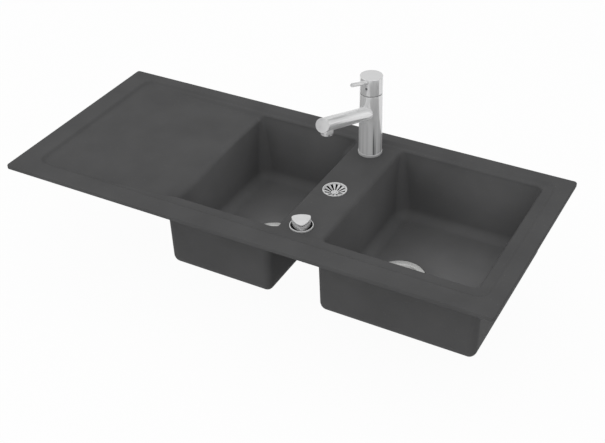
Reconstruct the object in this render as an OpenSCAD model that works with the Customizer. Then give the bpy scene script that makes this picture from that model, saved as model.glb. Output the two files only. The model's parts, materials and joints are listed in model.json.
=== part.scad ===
// Double bowl kitchen sink with a drainer, lever tap, overflow and pop-up knob.
// Origin: centre of the rim's outline, in the plane of the rim's underside, which is
// the worktop's top. +X is to the right, +Y to the back, +Z up. Millimetres.

/* [Sink] */
// Overall width, left to right
sink_w = 1160; // [1000:1:1500]
// Overall depth, front to back
sink_d = 510; // [420:1:620]
// Thickness of the rim that lies on the worktop
rim_t = 10; // [9:0.5:14]
// Corner radius of the rim, seen from above
rim_corner_r = 8; // [5:1:40]
// Radius along the rim's top edge
rim_edge_r = 3; // [1:0.5:6]
// Width of the flat rim on the left
rim_left = 55; // [40:1:80]
// Width of the flat rim on the right
rim_right = 36; // [30:1:60]
// Width of the flat rim at the back
rim_back = 38; // [32:1:60]
// Width of the flat rim at the front
rim_front = 48; // [32:1:70]
// Drop from the rim to the lowered field
field_drop = 5.5; // [3:0.5:8]
// Corner radius of the lowered field
field_corner_r = 24; // [10:1:40]
// Drop from the rim to the top of the divider
deck_drop = 8; // [6:0.5:12]
// Fall of the drainer from its left end to the bowl
drainer_fall = 10.5; // [4:0.5:12]
// Radius where the drainer rolls into the left bowl
drainer_roll_r = 14; // [6:1:20]
// How far the casting's underside hangs below the rim
tray_drop = 14; // [12:0.5:24]
// How far the tray reaches past the lowered field
tray_wall = 12; // [8:1:16]

/* [Bowls] */
// Width of the left bowl
left_bowl_w = 262; // [220:1:340]
// Width of the right bowl
right_bowl_w = 334; // [280:1:400]
// Width of the divider between the bowls
divider_w = 109; // [95:1:140]
// Ledge between the right bowl and the edge of the field
right_ledge = 26; // [16:1:40]
// Ledge in front of the bowls
front_ledge = 30; // [16:1:50]
// Ledge behind the bowls
back_ledge = 8; // [6:1:30]
// Depth from the rim to the bowls' floors
bowl_depth = 178; // [140:1:220]
// Draft of the bowls' walls, degrees
bowl_draft = 1.2; // [0.5:0.1:2]
// Upright corner radius inside the bowls
bowl_corner_r = 22; // [16:1:50]
// Radius between the walls and the floor
cove_r = 24; // [12:1:28]
// Radius of the bowls' top edge
lip_r = 8; // [3:0.5:10]
// Thickness of the bowls' walls
wall_t = 12; // [8:0.5:16]
// Thickness of the bowls' floors
floor_t = 12; // [8:0.5:16]
// Upright corner radius outside the bowls
outer_corner_r = 30; // [20:1:50]
// Radius between the outer walls and the underside
outer_cove_r = 24; // [10:1:40]
// Width of the sloped shoulder in the left bowl
shoulder_w = 23; // [15:1:30]
// Height of the sloped shoulder
shoulder_h = 44; // [30:1:60]

/* [Wastes] */
// From the divider's edge to the right waste
right_waste_in = 103; // [90:1:150]
// From the divider's edge to the left waste
left_waste_in = 109; // [100:1:150]
// From the tap to the wastes, front to back
tap_to_waste = 187; // [170:1:220]
// Radius of the waste holes
waste_hole_r = 45; // [40:0.5:46]
// Radius of the seat round a waste hole
waste_seat_r = 57.5; // [52:0.5:60]
// Depth of the waste seat
waste_seat_depth = 2.6; // [2:0.1:4]
// Depth of the strainer cup below the floor
cup_depth = 28; // [24:1:36]
// Wall of the strainer cup
cup_t = 1.5; // [1:0.1:2]
// Wall of the waste body
pot_t = 3; // [2:0.1:4]
// Inner radius of the waste outlet
outlet_r = 20; // [16:0.5:22]
// Length of the waste outlet's tail
outlet_len = 24; // [18:1:40]
// Rise of the pop-up strainer
popup_rise = 8; // [5:0.5:10]

/* [Overflow] */
// From the tap to the overflow
tap_to_overflow = 176; // [150:1:190]
// Radius of the overflow grille
grille_r = 28; // [24:0.5:32]
// Height of the grille's ring above the divider
grille_h = 3; // [2:0.1:4]
// Width of the grille's ring
grille_ring = 4; // [3:0.1:5]
// Depth of the dished part
grille_dish = 7; // [4:0.5:9]
// Number of slots in the grille
grille_slots = 12; // [8:1:16]
// Width of a slot
grille_slot_w = 2.4; // [1.5:0.1:3]

/* [Control] */
// From the overflow to the pop-up knob
overflow_to_control = 150.5; // [130:0.5:156]
// How far the knob's base ring reaches past the knob
control_out = 3.5; // [3.4:0.1:8]
// Height of the knob's base ring
control_h = 4; // [3:0.1:6]
// Radius over the corners of the three-sided knob
knob_r = 23; // [18:0.5:28]
// Height of the knob's top above the divider
knob_h = 18; // [14:0.5:26]
// Radius of the control's spindle
spindle_r = 4; // [3:0.1:5]

/* [Tap] */
// From the divider's centre to the tap, to the left
tap_shift = 8; // [0:0.5:10]
// From the back of the bowls to the tap
tap_in = 33; // [30:0.5:60]
// How far the tap's foot reaches past the handle cap
foot_out = 2.2; // [1.8:0.1:5]
// Radius of the handle cap and of the sleeve's top
tap_r = 25.5; // [24.5:0.1:28]
// Height of the seam under the handle cap, above the divider
seam_h = 155; // [140:1:200]
// Height of the handle cap
cap_h = 40; // [36:0.5:60]
// From the seam down to the handle's pivot
pivot_drop = 20; // [18:0.5:26]
// Radius of the tap hole
tap_hole_r = 17.5; // [17.5:0.1:19]
// Height of the spout's axis at the tap's axis
spout_h = 103.5; // [90:0.5:120]
// Rise of the spout, degrees
spout_rise = 20.4; // [10:0.1:25]
// Length of the spout from the tap's axis
spout_len = 246; // [180:1:280]
// Outer radius of the spout
spout_r = 15.4; // [14:0.1:17]
// Wall of the spout
spout_t = 2; // [1:0.1:3]
// Radius of the lever rod
lever_r = 4.5; // [3:0.1:6]
// Rise of the lever rod, degrees
lever_rise = 21.5; // [10:0.5:24]
// Length of the lever rod from the tap's axis
lever_len = 103.5; // [60:0.5:130]

/* [Hidden] */
$fn = 96;

// overrun of a cut past the face that it opens
over = 2;
// small gap between parts that turn or slide
running = 0.05;
// gap between parts that pass each other freely
gap = 0.5;
// axial gap between turning faces
face_gap = 0.3;

half_w = sink_w / 2;
half_d = sink_d / 2;
field_x0 = -half_w + rim_left;
field_x1 = half_w - rim_right;
field_y0 = -half_d + rim_front;
field_y1 = half_d - rim_back;
field_z = rim_t - field_drop;
deck_z = rim_t - deck_drop;
floor_z = rim_t - bowl_depth;
under_z = floor_z - floor_t;
bowl_y0 = field_y0 + front_ledge;
bowl_y1 = field_y1 - back_ledge;
right_x1 = field_x1 - right_ledge;
right_x0 = right_x1 - right_bowl_w;
left_x1 = right_x0 - divider_w;
left_x0 = left_x1 - left_bowl_w;
shoulder_x = left_x1 - shoulder_w;
shoulder_z = deck_z - shoulder_h;
drainer_z = field_z - drainer_fall;

tap_x = (left_x1 + right_x0) / 2 - tap_shift;
tap_y = bowl_y1 - tap_in;
overflow_y = tap_y - tap_to_overflow;
control_y = overflow_y - overflow_to_control;
waste_y = tap_y - tap_to_waste;
left_waste_x = left_x1 - left_waste_in;
right_waste_x = right_x0 + right_waste_in;

// Waste fittings, heights from the floor down
seat_z = floor_z - waste_seat_depth;
flange_gasket_t = 1;
flange_t = 1.4;
flange_inset = 1;
cup_in = 2.5;
cup_r = waste_hole_r - cup_in;
cup_floor_z = floor_z - cup_depth;
body_gasket_t = 3;
body_flange_t = 4;
body_flange_out = 11;
body_flange_r = waste_hole_r + body_flange_out;
pot_out = 1;
pot_r = waste_hole_r + pot_out;
pot_straight = 42;
pot_cone_h = 18;
outlet_t = 3.9;
rib_w = 5;
rib_h = 7;
rib_drop = 14;
boss_r = 9;
screw_head_r = 7;
screw_head_h = 3.5;
screw_r = 5;
screw_bite = 12;
pin_r = 3;
cup_hole_r = 6.5;
cup_hole_place = 18.5;
cup_holes = 6;
basket_t = 1;
basket_gap = 0.7;
basket_in = 4;
basket_rim_h = 1;
basket_rim = 1.6;
basket_seal_t = 2;
basket_seal_in = 1.5;
basket_seal_w = 4;
dome_r = 9;
dome_h = 6;
perforation_r = 1.5;
perforation_rings = [14, 20, 26];
perforations = 12;
wall_perforations = 24;
wall_perforation_drop = 9;
grip_r = 11;
grip_h = 8;
grip_stem_r = 4;
grip_stem_h = 5;
grip_edge_r = 2;
pin_stick_out = 10;
arm_len = 30;
arm_r = 4;
arm_tip_r = 3.5;
arm_web_t = 3;
arm_gland_r = 8;
arm_gland_len = 18;
arm_overhang = 10;
arm_crank_len = 16;
arm_crank_t = 4;
arm_gap = 0.4;
arm_travel = 2 * asin(popup_rise / 2 / arm_len);

// Overflow fittings
grille_lap = 5;
overflow_hole_r = grille_r - grille_lap;
grille_t = 1.5;
grille_neck_len = 12;
grille_hub_r = 7;
overflow_screw_r = 2.5;
overflow_head_r = 5;
overflow_head_h = 2;
overflow_gasket_t = 3;
elbow_flange_out = 2;
elbow_flange_r = grille_r + elbow_flange_out;
elbow_flange_t = 3;
elbow_in = 4;
elbow_r = grille_r - elbow_in;
elbow_t = 2.5;
elbow_depth = 36;
elbow_boss_r = 5;
elbow_boss_h = 16;
elbow_web_t = 3;
hose_spigot_r = 10;
hose_spigot_t = 2;
hose_spigot_len = 24;
hose_spigot_rise = 14;
hose_collar_out = 2;
hose_collar_len = 2;
hose_fall = 30;

// Control fittings
control_r = knob_r + control_out;
control_plate_t = 1;
control_ring_w = 3.2;
control_tube_r = 16.5;
control_tube_t = 3.5;
control_tube_len = 36;
control_edge_r = 1.2;
knob_side_in = 5.7;
knob_side_r = 42;
knob_cover_t = 3.2;
knob_groove_h = 0.9;
knob_groove_w = 1;
knob_hole_depth = 11;
control_washer_t = 2;
control_nut_t = 8;
control_nut_r = 25;
control_bush_len = 30;
housing_r = 22;
housing_t = 2.5;
housing_h = 20;
housing_lap = 6;
drum_r = 15;
drum_h = 10;
drum_groove_r = 1.5;
gland_r = 4;
gland_hole_r = 1.6;
gland_len = 12;

// Tap levels and inner sizes
foot_seal_t = 1;
foot_seal_in = 1;
foot_r = tap_r + foot_out;
foot_ring_t = 1.7;
foot_flange_r = foot_r - foot_ring_t;
foot_flange_t = 4;
foot_ring_h = 6.2;
foot_edge_r = 0.8;
glide_t = 1;
column_r = 19;
collar_in = 4.4;
collar_r = tap_r - collar_in;
collar_h = 9;
collar_below = 10;
collar_above = 25;
seal_groove = 2.2;
seal_stand_out = 0.2;
cartridge_r = 16.5;
cartridge_h = 32;
cartridge_floor = 5;
cartridge_seat_drop = 6;
carrier_r = 12;
stem_w = 8;
stem_slot_gap = 0.4;
stem_slot_w = stem_w + 2 * stem_slot_gap;
stem_tail = 8;
stem_tail_gap = 1.6;
stem_pin_r = 2;
sleeve_bore_r = collar_r + face_gap;
seam_gap = 0.5;
sleeve_wall_top = glide_t + seam_gap;
handle_gap = 0.5;
dome_hole_r = 16;
dome_seat_in = 0.6;
cap_wall = 3.5;
cap_top_t = 5;
cap_boss_r = 9;
cap_edge_r = 1;
stem_in_cap = 13;
lever_root = 5;
lever_axis_drop = 16;
grub_r = 2.5;
grub_drop = 22;
index_r = 3;
index_t = 3;
inlet_r = 4.5;
inlet_depth = 14;
inlet_pitch = 13;
duct_r = 3.2;
port_r = 2.5;
duct_out = 11;
shank_r = 16.5;
shank_t = 2.5;
shank_len = 76;
rubber_washer_t = 3;
steel_washer_t = 2;
washer_r = 27;
washer_gap = 0.3;
nut_r = 26;
nut_t = 10;
end_cap_t = 2.5;
aerator_back = 22;
aerator_r = 12;
aerator_boss_r = 13.5;
aerator_drop = 5.5;
aerator_h = 9;
aerator_ring_t = 1.6;
aerator_hole_r = 1;
aerator_hole_pitch = 3;
aerator_rows = 3;
lever_end_r = 1.5;

deck_y0 = min(bowl_y0, control_y - control_r);
deck_y1 = max(bowl_y1, tap_y + foot_r);
foot_z = deck_z + foot_seal_t;
sleeve_z0 = foot_z + foot_flange_t + glide_t + face_gap;
seam_z = deck_z + seam_h;
sleeve_z1 = seam_z - sleeve_wall_top;
pivot_z = seam_z - pivot_drop;
cap_sphere_r = sqrt(tap_r * tap_r + pivot_drop * pivot_drop);
cap_z = seam_z + cap_h;
column_top_z = seam_z - cartridge_seat_drop;
cartridge_z = column_top_z - cartridge_h;
spout_z = deck_z + spout_h;
tip_y = tap_y - spout_len * cos(spout_rise);
tip_z = spout_z + spout_len * sin(spout_rise);
aerator_y = tip_y + aerator_back * cos(spout_rise);
aerator_axis_z = tip_z - aerator_back * sin(spout_rise);
aerator_z = aerator_axis_z - spout_r / cos(spout_rise) - aerator_drop;
lever_z = cap_z - lever_axis_drop;
lever_foot_y = lever_root * cos(lever_rise) - stem_w / 2;
lever_foot_z = lever_z + lever_root * sin(lever_rise) + lever_foot_y / tan(lever_rise);
stem_top_z = min(pivot_z + cap_sphere_r + stem_in_cap, lever_foot_z);

// Shared shapes

module bar(x0, x1, y0, y1, z0, z1) {
    translate([x0, y0, z0]) cube([x1 - x0, y1 - y0, z1 - z0]);
}

module disc(r, z0, z1) {
    translate([0, 0, z0]) cylinder(r = r, h = z1 - z0);
}

module ring(r0, r1, z0, z1) {
    difference() {
        disc(r1, z0, z1);
        disc(r0, z0 - over, z1 + over);
    }
}

// A box with upright round corners. Its child is the section from a corner's axis, at
// x = 0, out to the wall, at x = r, and it spans z0 to z1 at the axis.
module soft_box(x0, x1, y0, y1, r, z0, z1) {
    corners = [[x1, y1, 0], [x0, y1, 90], [x0, y0, 180], [x1, y0, 270]];
    for (c = corners)
        translate([c.x > x0 ? c.x - r : c.x + r, c.y > y0 ? c.y - r : c.y + r, 0])
            rotate([0, 0, c[2]]) rotate_extrude(angle = 90) children();
    for (side = [0, 1])
        translate([side == 0 ? x1 - r : x0 + r, side == 0 ? y1 - r : y0 + r, 0])
            rotate([0, 0, side * 180]) rotate([90, 0, 0]) linear_extrude(y1 - y0 - 2 * r) children();
    for (side = [0, 1])
        translate([side == 0 ? x0 + r : x1 - r, side == 0 ? y1 - r : y0 + r, 0])
            rotate([0, 0, 90 + side * 180]) rotate([90, 0, 0]) linear_extrude(x1 - x0 - 2 * r) children();
    bar(x0 + r, x1 - r, y0 + r, y1 - r, z0, z1);
}

function fitted_cove(cove, corner, h) =
    min(cove, (corner * cos(bowl_draft) - h * sin(bowl_draft)) / (1 - sin(bowl_draft)));

// Half section of a drafted wall with a round cove at the floor
module drafted_section(r, z0, z1, cove) {
    c = fitted_cove(cove, r, z1 - z0);
    cx = r - (c + sin(bowl_draft) * (z1 - z0 - c)) / cos(bowl_draft);
    intersection() {
        union() {
            polygon([
                [0, z0], [cx, z0], [cx, z0 + c],
                [cx + c * cos(bowl_draft), z0 + c - c * sin(bowl_draft)],
                [r, z1], [0, z1]
            ]);
            translate([cx, z0 + c]) circle(c);
        }
        translate([0, z0]) square([r, z1 - z0]);
    }
}

// Half section of the flared edge over a bowl
module lip_section(r, z1, lip) {
    difference() {
        translate([0, z1 - lip]) square([r + lip, lip]);
        translate([r + lip, z1 - lip]) circle(lip);
    }
    translate([0, z1]) square([r + lip, rim_t]);
}

// Sink

module bowl_outside(x0, x1) {
    soft_box(x0 - wall_t, x1 + wall_t, bowl_y0 - wall_t, bowl_y1 + wall_t, outer_corner_r, under_z, 0)
        drafted_section(outer_corner_r, under_z, 0, outer_cove_r);
}

module bowl_inside(x0, x1) {
    soft_box(x0, x1, bowl_y0, bowl_y1, bowl_corner_r, floor_z, field_z - lip_r)
        drafted_section(bowl_corner_r, floor_z, field_z - lip_r, cove_r);
}

module bowl_mouth(x0, x1) {
    soft_box(x0, x1, bowl_y0, bowl_y1, bowl_corner_r, field_z - lip_r, field_z + rim_t)
        lip_section(bowl_corner_r, field_z, lip_r);
}

// The slanting cut that leaves a shoulder under the divider
module shoulder_side(out, drop) {
    translate([0, half_d, 0]) rotate([90, 0, 0]) linear_extrude(sink_d)
        polygon([
            [shoulder_x + out, shoulder_z - drop - over],
            [shoulder_x + out, shoulder_z - drop],
            [left_x1 + out, deck_z - lip_r - drop],
            [left_x1 + divider_w, deck_z - lip_r - drop],
            [left_x1 + divider_w, shoulder_z - drop - over]
        ]);
}

module shoulder_outside() {
    difference() {
        soft_box(left_x0 - wall_t, left_x1 + wall_t, bowl_y0 - wall_t, bowl_y1 + wall_t,
            outer_corner_r, shoulder_z - wall_t, 0)
            translate([0, shoulder_z - wall_t]) square([outer_corner_r, -shoulder_z + wall_t]);
        shoulder_side(wall_t, wall_t / 2);
    }
}

module shoulder_inside() {
    difference() {
        soft_box(left_x0, left_x1, bowl_y0, bowl_y1, bowl_corner_r, shoulder_z, field_z - lip_r)
            translate([0, shoulder_z]) square([bowl_corner_r, field_z - lip_r - shoulder_z]);
        shoulder_side(0, 0);
    }
}

module drainer_cut() {
    translate([0, field_y1, 0]) rotate([90, 0, 0]) linear_extrude(field_y1 - field_y0)
        polygon([
            [field_x0, field_z], [left_x0, drainer_z],
            [left_x0 + bowl_corner_r, drainer_z],
            [left_x0 + bowl_corner_r, rim_t + over], [field_x0, rim_t + over]
        ]);
}

module drainer_roll() {
    translate([0, bowl_y1 - bowl_corner_r, 0]) rotate([90, 0, 0])
        linear_extrude(bowl_y1 - bowl_y0 - 2 * bowl_corner_r)
            difference() {
                translate([left_x0 - drainer_roll_r, drainer_z - drainer_roll_r])
                    square([drainer_roll_r + over, drainer_roll_r + over]);
                translate([left_x0 - drainer_roll_r, drainer_z - drainer_roll_r])
                    circle(drainer_roll_r);
            }
}

module rim_section() {
    difference() {
        square([rim_corner_r, rim_t]);
        translate([rim_corner_r - rim_edge_r, rim_t - rim_edge_r]) difference() {
            square([rim_edge_r + over, rim_edge_r + over]);
            circle(rim_edge_r);
        }
    }
}

module field_box(z0, z1, out, r) {
    soft_box(field_x0 - out, field_x1 + out, field_y0 - out, field_y1 + out, r, z0, z1)
        translate([0, z0]) square([r, z1 - z0]);
}

module waste_hole(x) {
    translate([x, waste_y, 0]) {
        disc(waste_hole_r, under_z - over, floor_z);
        disc(waste_seat_r, seat_z, floor_z + over);
    }
}

module sink_body() {
    color([0.31, 0.31, 0.32]) difference() {
        union() {
            soft_box(-half_w, half_w, -half_d, half_d, rim_corner_r, 0, rim_t) rim_section();
            field_box(-tray_drop, 0, tray_wall, field_corner_r);
            difference() {
                union() {
                    bowl_outside(left_x0, shoulder_x);
                    shoulder_outside();
                    bowl_outside(right_x0, right_x1);
                }
                bar(-half_w, half_w, -half_d, half_d, -tray_drop, over);
            }
        }
        field_box(field_z, rim_t + over, 0, field_corner_r);
        intersection() {
            drainer_cut();
            field_box(drainer_z - over, rim_t + over, 0, field_corner_r);
        }
        drainer_roll();
        bar(left_x1 - lip_r, right_x0 + lip_r, deck_y0, deck_y1, deck_z, rim_t);
        bowl_inside(left_x0, shoulder_x);
        shoulder_inside();
        bowl_mouth(left_x0, left_x1);
        bowl_inside(right_x0, right_x1);
        bowl_mouth(right_x0, right_x1);
        waste_hole(left_waste_x);
        waste_hole(right_waste_x);
        translate([tap_x, tap_y, 0]) disc(tap_hole_r, -tray_drop - over, deck_z + over);
        translate([tap_x, overflow_y, 0]) disc(overflow_hole_r, -tray_drop - over, deck_z + over);
        translate([tap_x, control_y, 0])
            disc(control_tube_r + gap, -tray_drop - over, deck_z + over);
    }
}

// Wastes, drawn at the centre of their hole

flange_z = seat_z + flange_gasket_t;
flange_r = waste_seat_r - flange_inset;
body_z = under_z - body_gasket_t;
boss_top_z = cup_floor_z - cup_t;
rib_z = body_z - body_flange_t - rib_drop;
boss_z = rib_z - rib_h;
pot_z = body_z - pot_straight;
cone_z = pot_z - pot_cone_h;
outlet_z = cone_z - outlet_len;
pin_z = boss_z - pin_stick_out;
arm_z = pin_z - arm_gap - arm_tip_r + popup_rise / 2;
basket_z = cup_floor_z + basket_seal_t;
basket_r = cup_r - cup_t - basket_gap;
basket_top_z = flange_z;
dome_z = basket_z + dome_h;

module waste_flange() {
    color([0.75, 0.76, 0.77]) difference() {
        union() {
            ring(cup_r - cup_t, flange_r, flange_z, flange_z + flange_t);
            ring(cup_r - cup_t, cup_r, cup_floor_z - cup_t, flange_z + flange_t);
            disc(cup_r - cup_t / 2, cup_floor_z - cup_t, cup_floor_z);
        }
        disc(screw_r + running, boss_top_z - over, cup_floor_z + over);
        for (i = [0:cup_holes - 1])
            rotate([0, 0, i * 360 / cup_holes]) translate([cup_hole_place, 0, 0])
                disc(cup_hole_r, boss_top_z - over, cup_floor_z + over);
    }
}

module flange_gasket() {
    color([0.15, 0.15, 0.15]) ring(waste_hole_r, flange_r - flange_inset, seat_z, flange_z);
}

module body_gasket() {
    color([0.15, 0.15, 0.15]) ring(pot_r, body_flange_r - flange_inset, body_z, under_z);
}

module waste_pot() {
    rotate_extrude() polygon([
        [pot_r, body_z], [body_flange_r, body_z], [body_flange_r, body_z - body_flange_t],
        [pot_r + pot_t, body_z - body_flange_t], [pot_r + pot_t, pot_z],
        [outlet_r + outlet_t, cone_z], [outlet_r + outlet_t, outlet_z],
        [outlet_r, outlet_z], [outlet_r, cone_z], [pot_r, pot_z]
    ]);
    difference() {
        union() {
            disc(boss_r, boss_z, boss_top_z);
            for (i = [0:2])
                rotate([0, 0, 90 + i * 120])
                    bar(0, pot_r + pot_t / 2, -rib_w / 2, rib_w / 2, boss_z, rib_z);
        }
        disc(screw_r, boss_z - over, boss_top_z + over);
    }
}

module left_pot() {
    color([0.12, 0.12, 0.13]) waste_pot();
}

module right_pot() {
    color([0.12, 0.12, 0.13]) difference() {
        union() {
            waste_pot();
            difference() {
                arm_shaft_line(arm_gland_r, 0, arm_gland_end);
                disc(pot_r + pot_t / 2, pot_z - over, body_z);
            }
        }
        arm_shaft_line(arm_r + running, 0, arm_gland_end + over);
    }
}

module centre_screw(hole) {
    color([0.78, 0.79, 0.8]) difference() {
        union() {
            disc(screw_r, boss_z, cup_floor_z);
            disc(screw_head_r, cup_floor_z, cup_floor_z + screw_head_h);
        }
        if (hole > 0) disc(hole, boss_z - over, cup_floor_z + screw_head_h + over);
        else bar(-screw_head_r, screw_head_r, -basket_t / 2, basket_t / 2,
            cup_floor_z + screw_head_h / 2, cup_floor_z + screw_head_h + over);
    }
}

module basket() {
    color([0.76, 0.77, 0.78]) difference() {
        rotate_extrude() polygon([
            [dome_r - basket_t, basket_z], [basket_r - basket_in, basket_z],
            [basket_r - basket_t, basket_top_z - basket_rim_h],
            [basket_r, basket_top_z], [basket_r - basket_rim, basket_top_z],
            [basket_r - basket_t - basket_rim, basket_top_z - basket_rim_h],
            [basket_r - basket_in - basket_t, basket_z + basket_t],
            [dome_r, basket_z + basket_t], [dome_r, dome_z],
            [0, dome_z], [0, dome_z - basket_t],
            [dome_r - basket_t, dome_z - basket_t]
        ]);
        for (ring_r = perforation_rings, i = [0:perforations - 1])
            rotate([0, 0, (i + ring_r / perforations) * 360 / perforations])
                translate([ring_r, 0, 0]) disc(perforation_r, basket_z - over, basket_z + basket_t + over);
        for (i = [0:wall_perforations - 1])
            rotate([0, 0, i * 360 / wall_perforations])
                translate([basket_r / 2, 0, basket_top_z - wall_perforation_drop])
                    rotate([0, 90, 0]) cylinder(r = perforation_r, h = basket_r);
    }
}

module basket_seal() {
    r = basket_r - basket_in - basket_seal_in;
    color([0.12, 0.12, 0.12]) ring(r - basket_seal_w, r, cup_floor_z, basket_z);
}

module basket_knob() {
    z = dome_z + grip_stem_h;
    color([0.8, 0.81, 0.82]) rotate_extrude() {
        translate([0, dome_z]) square([grip_stem_r, grip_stem_h]);
        translate([0, z]) square([grip_r - grip_edge_r, grip_h]);
        translate([0, z + grip_edge_r]) square([grip_r, grip_h - 2 * grip_edge_r]);
        for (h = [z + grip_edge_r, z + grip_h - grip_edge_r])
            translate([grip_r - grip_edge_r, h]) circle(grip_edge_r);
    }
}

module lift_pin() {
    color([0.8, 0.8, 0.8]) disc(pin_r, pin_z, dome_z - basket_t);
}

arm_gland_end = sqrt(pot_r * pot_r - arm_len * arm_len) + arm_gland_len;

// A round bar along the lift arm's axis, from y0 to y1 behind the waste's centre
module arm_shaft_line(r, y0, y1) {
    translate([-arm_len, y0, arm_z]) rotate([-90, 0, 0]) cylinder(r = r, h = y1 - y0);
}

module lift_arm() {
    color([0.55, 0.55, 0.56]) {
        arm_shaft_line(arm_r, -arm_r, arm_gland_end + arm_overhang);
        translate([-arm_len, -arm_web_t / 2, arm_z]) rotate([0, arm_travel / 2, 0]) {
            bar(0, arm_len, 0, arm_web_t, -arm_web_t / 2, arm_web_t / 2);
            translate([arm_len, 0, 0]) rotate([-90, 0, 0]) cylinder(r = arm_tip_r, h = arm_web_t);
        }
        translate([-arm_len, arm_gland_end + arm_overhang - arm_crank_t, arm_z])
            bar(-arm_r, arm_r, 0, arm_crank_t, -arm_crank_len, 0);
    }
}

module at_left_waste() {
    translate([left_waste_x, waste_y, 0]) children();
}

module at_right_waste() {
    translate([right_waste_x, waste_y, 0]) children();
}

module left_waste_flange() { at_left_waste() waste_flange(); }
module left_flange_gasket() { at_left_waste() flange_gasket(); }
module left_body_gasket() { at_left_waste() body_gasket(); }
module left_waste_body() { at_left_waste() left_pot(); }
module left_centre_screw() { at_left_waste() centre_screw(0); }
module left_basket() { at_left_waste() basket(); }
module left_basket_seal() { at_left_waste() basket_seal(); }
module left_basket_knob() { at_left_waste() basket_knob(); }
module right_waste_flange() { at_right_waste() waste_flange(); }
module right_flange_gasket() { at_right_waste() flange_gasket(); }
module right_body_gasket() { at_right_waste() body_gasket(); }
module right_waste_body() { at_right_waste() right_pot(); }
module right_centre_screw() { at_right_waste() centre_screw(pin_r + running); }
module right_basket() { at_right_waste() basket(); }
module right_basket_seal() { at_right_waste() basket_seal(); }
module right_basket_knob() { at_right_waste() basket_knob(); }
module right_lift_pin() { at_right_waste() lift_pin(); }
module right_lift_arm() { at_right_waste() lift_arm(); }

// Overflow, drawn at the centre of its hole

grille_top_z = deck_z + grille_h;
grille_in_r = grille_r - grille_ring;
hub_z = grille_top_z - grille_dish;
elbow_z = -tray_drop - overflow_gasket_t;
elbow_floor_z = elbow_z - elbow_depth;

module at_overflow() {
    translate([tap_x, overflow_y, 0]) children();
}

module overflow_grille() {
    color([0.8, 0.81, 0.82]) at_overflow() difference() {
        rotate_extrude() union() {
            polygon([
                [grille_in_r, deck_z], [grille_r, deck_z], [grille_r, grille_top_z - grille_t / 2],
                [grille_r - grille_t / 2, grille_top_z], [grille_in_r, grille_top_z],
                [grille_in_r - grille_t, grille_top_z - grille_t],
                [grille_hub_r, hub_z], [0, hub_z], [0, hub_z - grille_t],
                [grille_hub_r, hub_z - grille_t], [grille_in_r - 2 * grille_t, deck_z - grille_t / 2],
                [grille_in_r - 2 * grille_t, hub_z - grille_neck_len],
                [overflow_hole_r - gap, hub_z - grille_neck_len], [overflow_hole_r - gap, deck_z]
            ]);
        }
        for (i = [0:grille_slots - 1]) rotate([0, 0, (i + 1 / 2) * 360 / grille_slots])
            bar(grille_hub_r, grille_in_r - 2 * grille_t - grille_slot_w / 2,
                -grille_slot_w / 2, grille_slot_w / 2, hub_z - grille_dish, grille_top_z);
        disc(overflow_screw_r + running, hub_z - grille_t - over, hub_z + over);
    }
}

module overflow_screw() {
    color([0.82, 0.83, 0.84]) at_overflow() difference() {
        union() {
            disc(overflow_screw_r, elbow_floor_z + elbow_t, hub_z);
            disc(overflow_head_r, hub_z, hub_z + overflow_head_h);
        }
        bar(-overflow_head_r, overflow_head_r, -grille_t / 2, grille_t / 2,
            hub_z + overflow_head_h / 2, hub_z + overflow_head_h + over);
    }
}

module overflow_gasket() {
    color([0.15, 0.15, 0.15]) at_overflow()
        ring(overflow_hole_r, elbow_flange_r - flange_inset, elbow_z, -tray_drop);
}

module along_hose(r, l0, l1) {
    translate([0, 0, elbow_floor_z + hose_spigot_rise]) rotate([90 + hose_fall, 0, 0])
        translate([0, 0, l0]) cylinder(r = r, h = l1 - l0);
}

module overflow_elbow() {
    bore_r = elbow_r - elbow_t;
    bore = hose_spigot_r - hose_spigot_t;
    bore_start = (elbow_boss_r + elbow_web_t + bore * sin(hose_fall)) / cos(hose_fall);
    color([0.12, 0.12, 0.13]) at_overflow() difference() {
        union() {
            difference() {
                union() {
                    disc(elbow_flange_r, elbow_z - elbow_flange_t, elbow_z);
                    disc(elbow_r, elbow_floor_z, elbow_z);
                    along_hose(hose_spigot_r, 0, elbow_r + hose_spigot_len);
                    along_hose(hose_spigot_r + hose_collar_out, 0, elbow_r + hose_collar_len);
                }
                disc(bore_r, elbow_floor_z + elbow_t, elbow_z + over);
            }
            disc(elbow_boss_r, elbow_floor_z, elbow_floor_z + elbow_boss_h);
        }
        disc(overflow_screw_r, elbow_floor_z + elbow_t, elbow_z + over);
        along_hose(bore, bore_start, elbow_r + hose_spigot_len + over);
    }
}

// Pop-up control, drawn at the centre of its hole

control_plate_z = deck_z + control_plate_t;
knob_z0 = control_plate_z + gap;
knob_z1 = deck_z + knob_h;
tube_end_z = control_plate_z - control_tube_len;
bush_z0 = tube_end_z + gap;
housing_z0 = tube_end_z - housing_h + housing_lap;
drum_z1 = tube_end_z - gap;
drum_z0 = drum_z1 - drum_h;

module at_control() {
    translate([tap_x, control_y, 0]) children();
}

module knob_side(turn, inset) {
    rotate([0, 0, turn]) translate([knob_r - knob_side_in - knob_side_r, 0])
        circle(knob_side_r - inset);
}

// A three-sided outline with bowed sides and blunt corners
module knob_outline(inset) {
    intersection() {
        circle(knob_r - inset);
        knob_side(0, inset);
        knob_side(120, inset);
        knob_side(240, inset);
    }
}

module control_escutcheon() {
    color([0.8, 0.81, 0.82]) at_control() difference() {
        union() {
            rotate_extrude() union() {
                square_section(control_r - control_edge_r, deck_z, deck_z + control_h);
                square_section(control_r, deck_z, deck_z + control_h - control_edge_r);
                translate([control_r - control_edge_r, deck_z + control_h - control_edge_r])
                    circle(control_edge_r);
            }
            disc(control_tube_r, tube_end_z, deck_z);
        }
        disc(control_r - control_ring_w, control_plate_z, deck_z + control_h + over);
        disc(control_tube_r - control_tube_t, tube_end_z - over, control_plate_z + over);
    }
}

module square_section(r, z0, z1) {
    translate([0, z0]) square([r, z1 - z0]);
}

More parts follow.
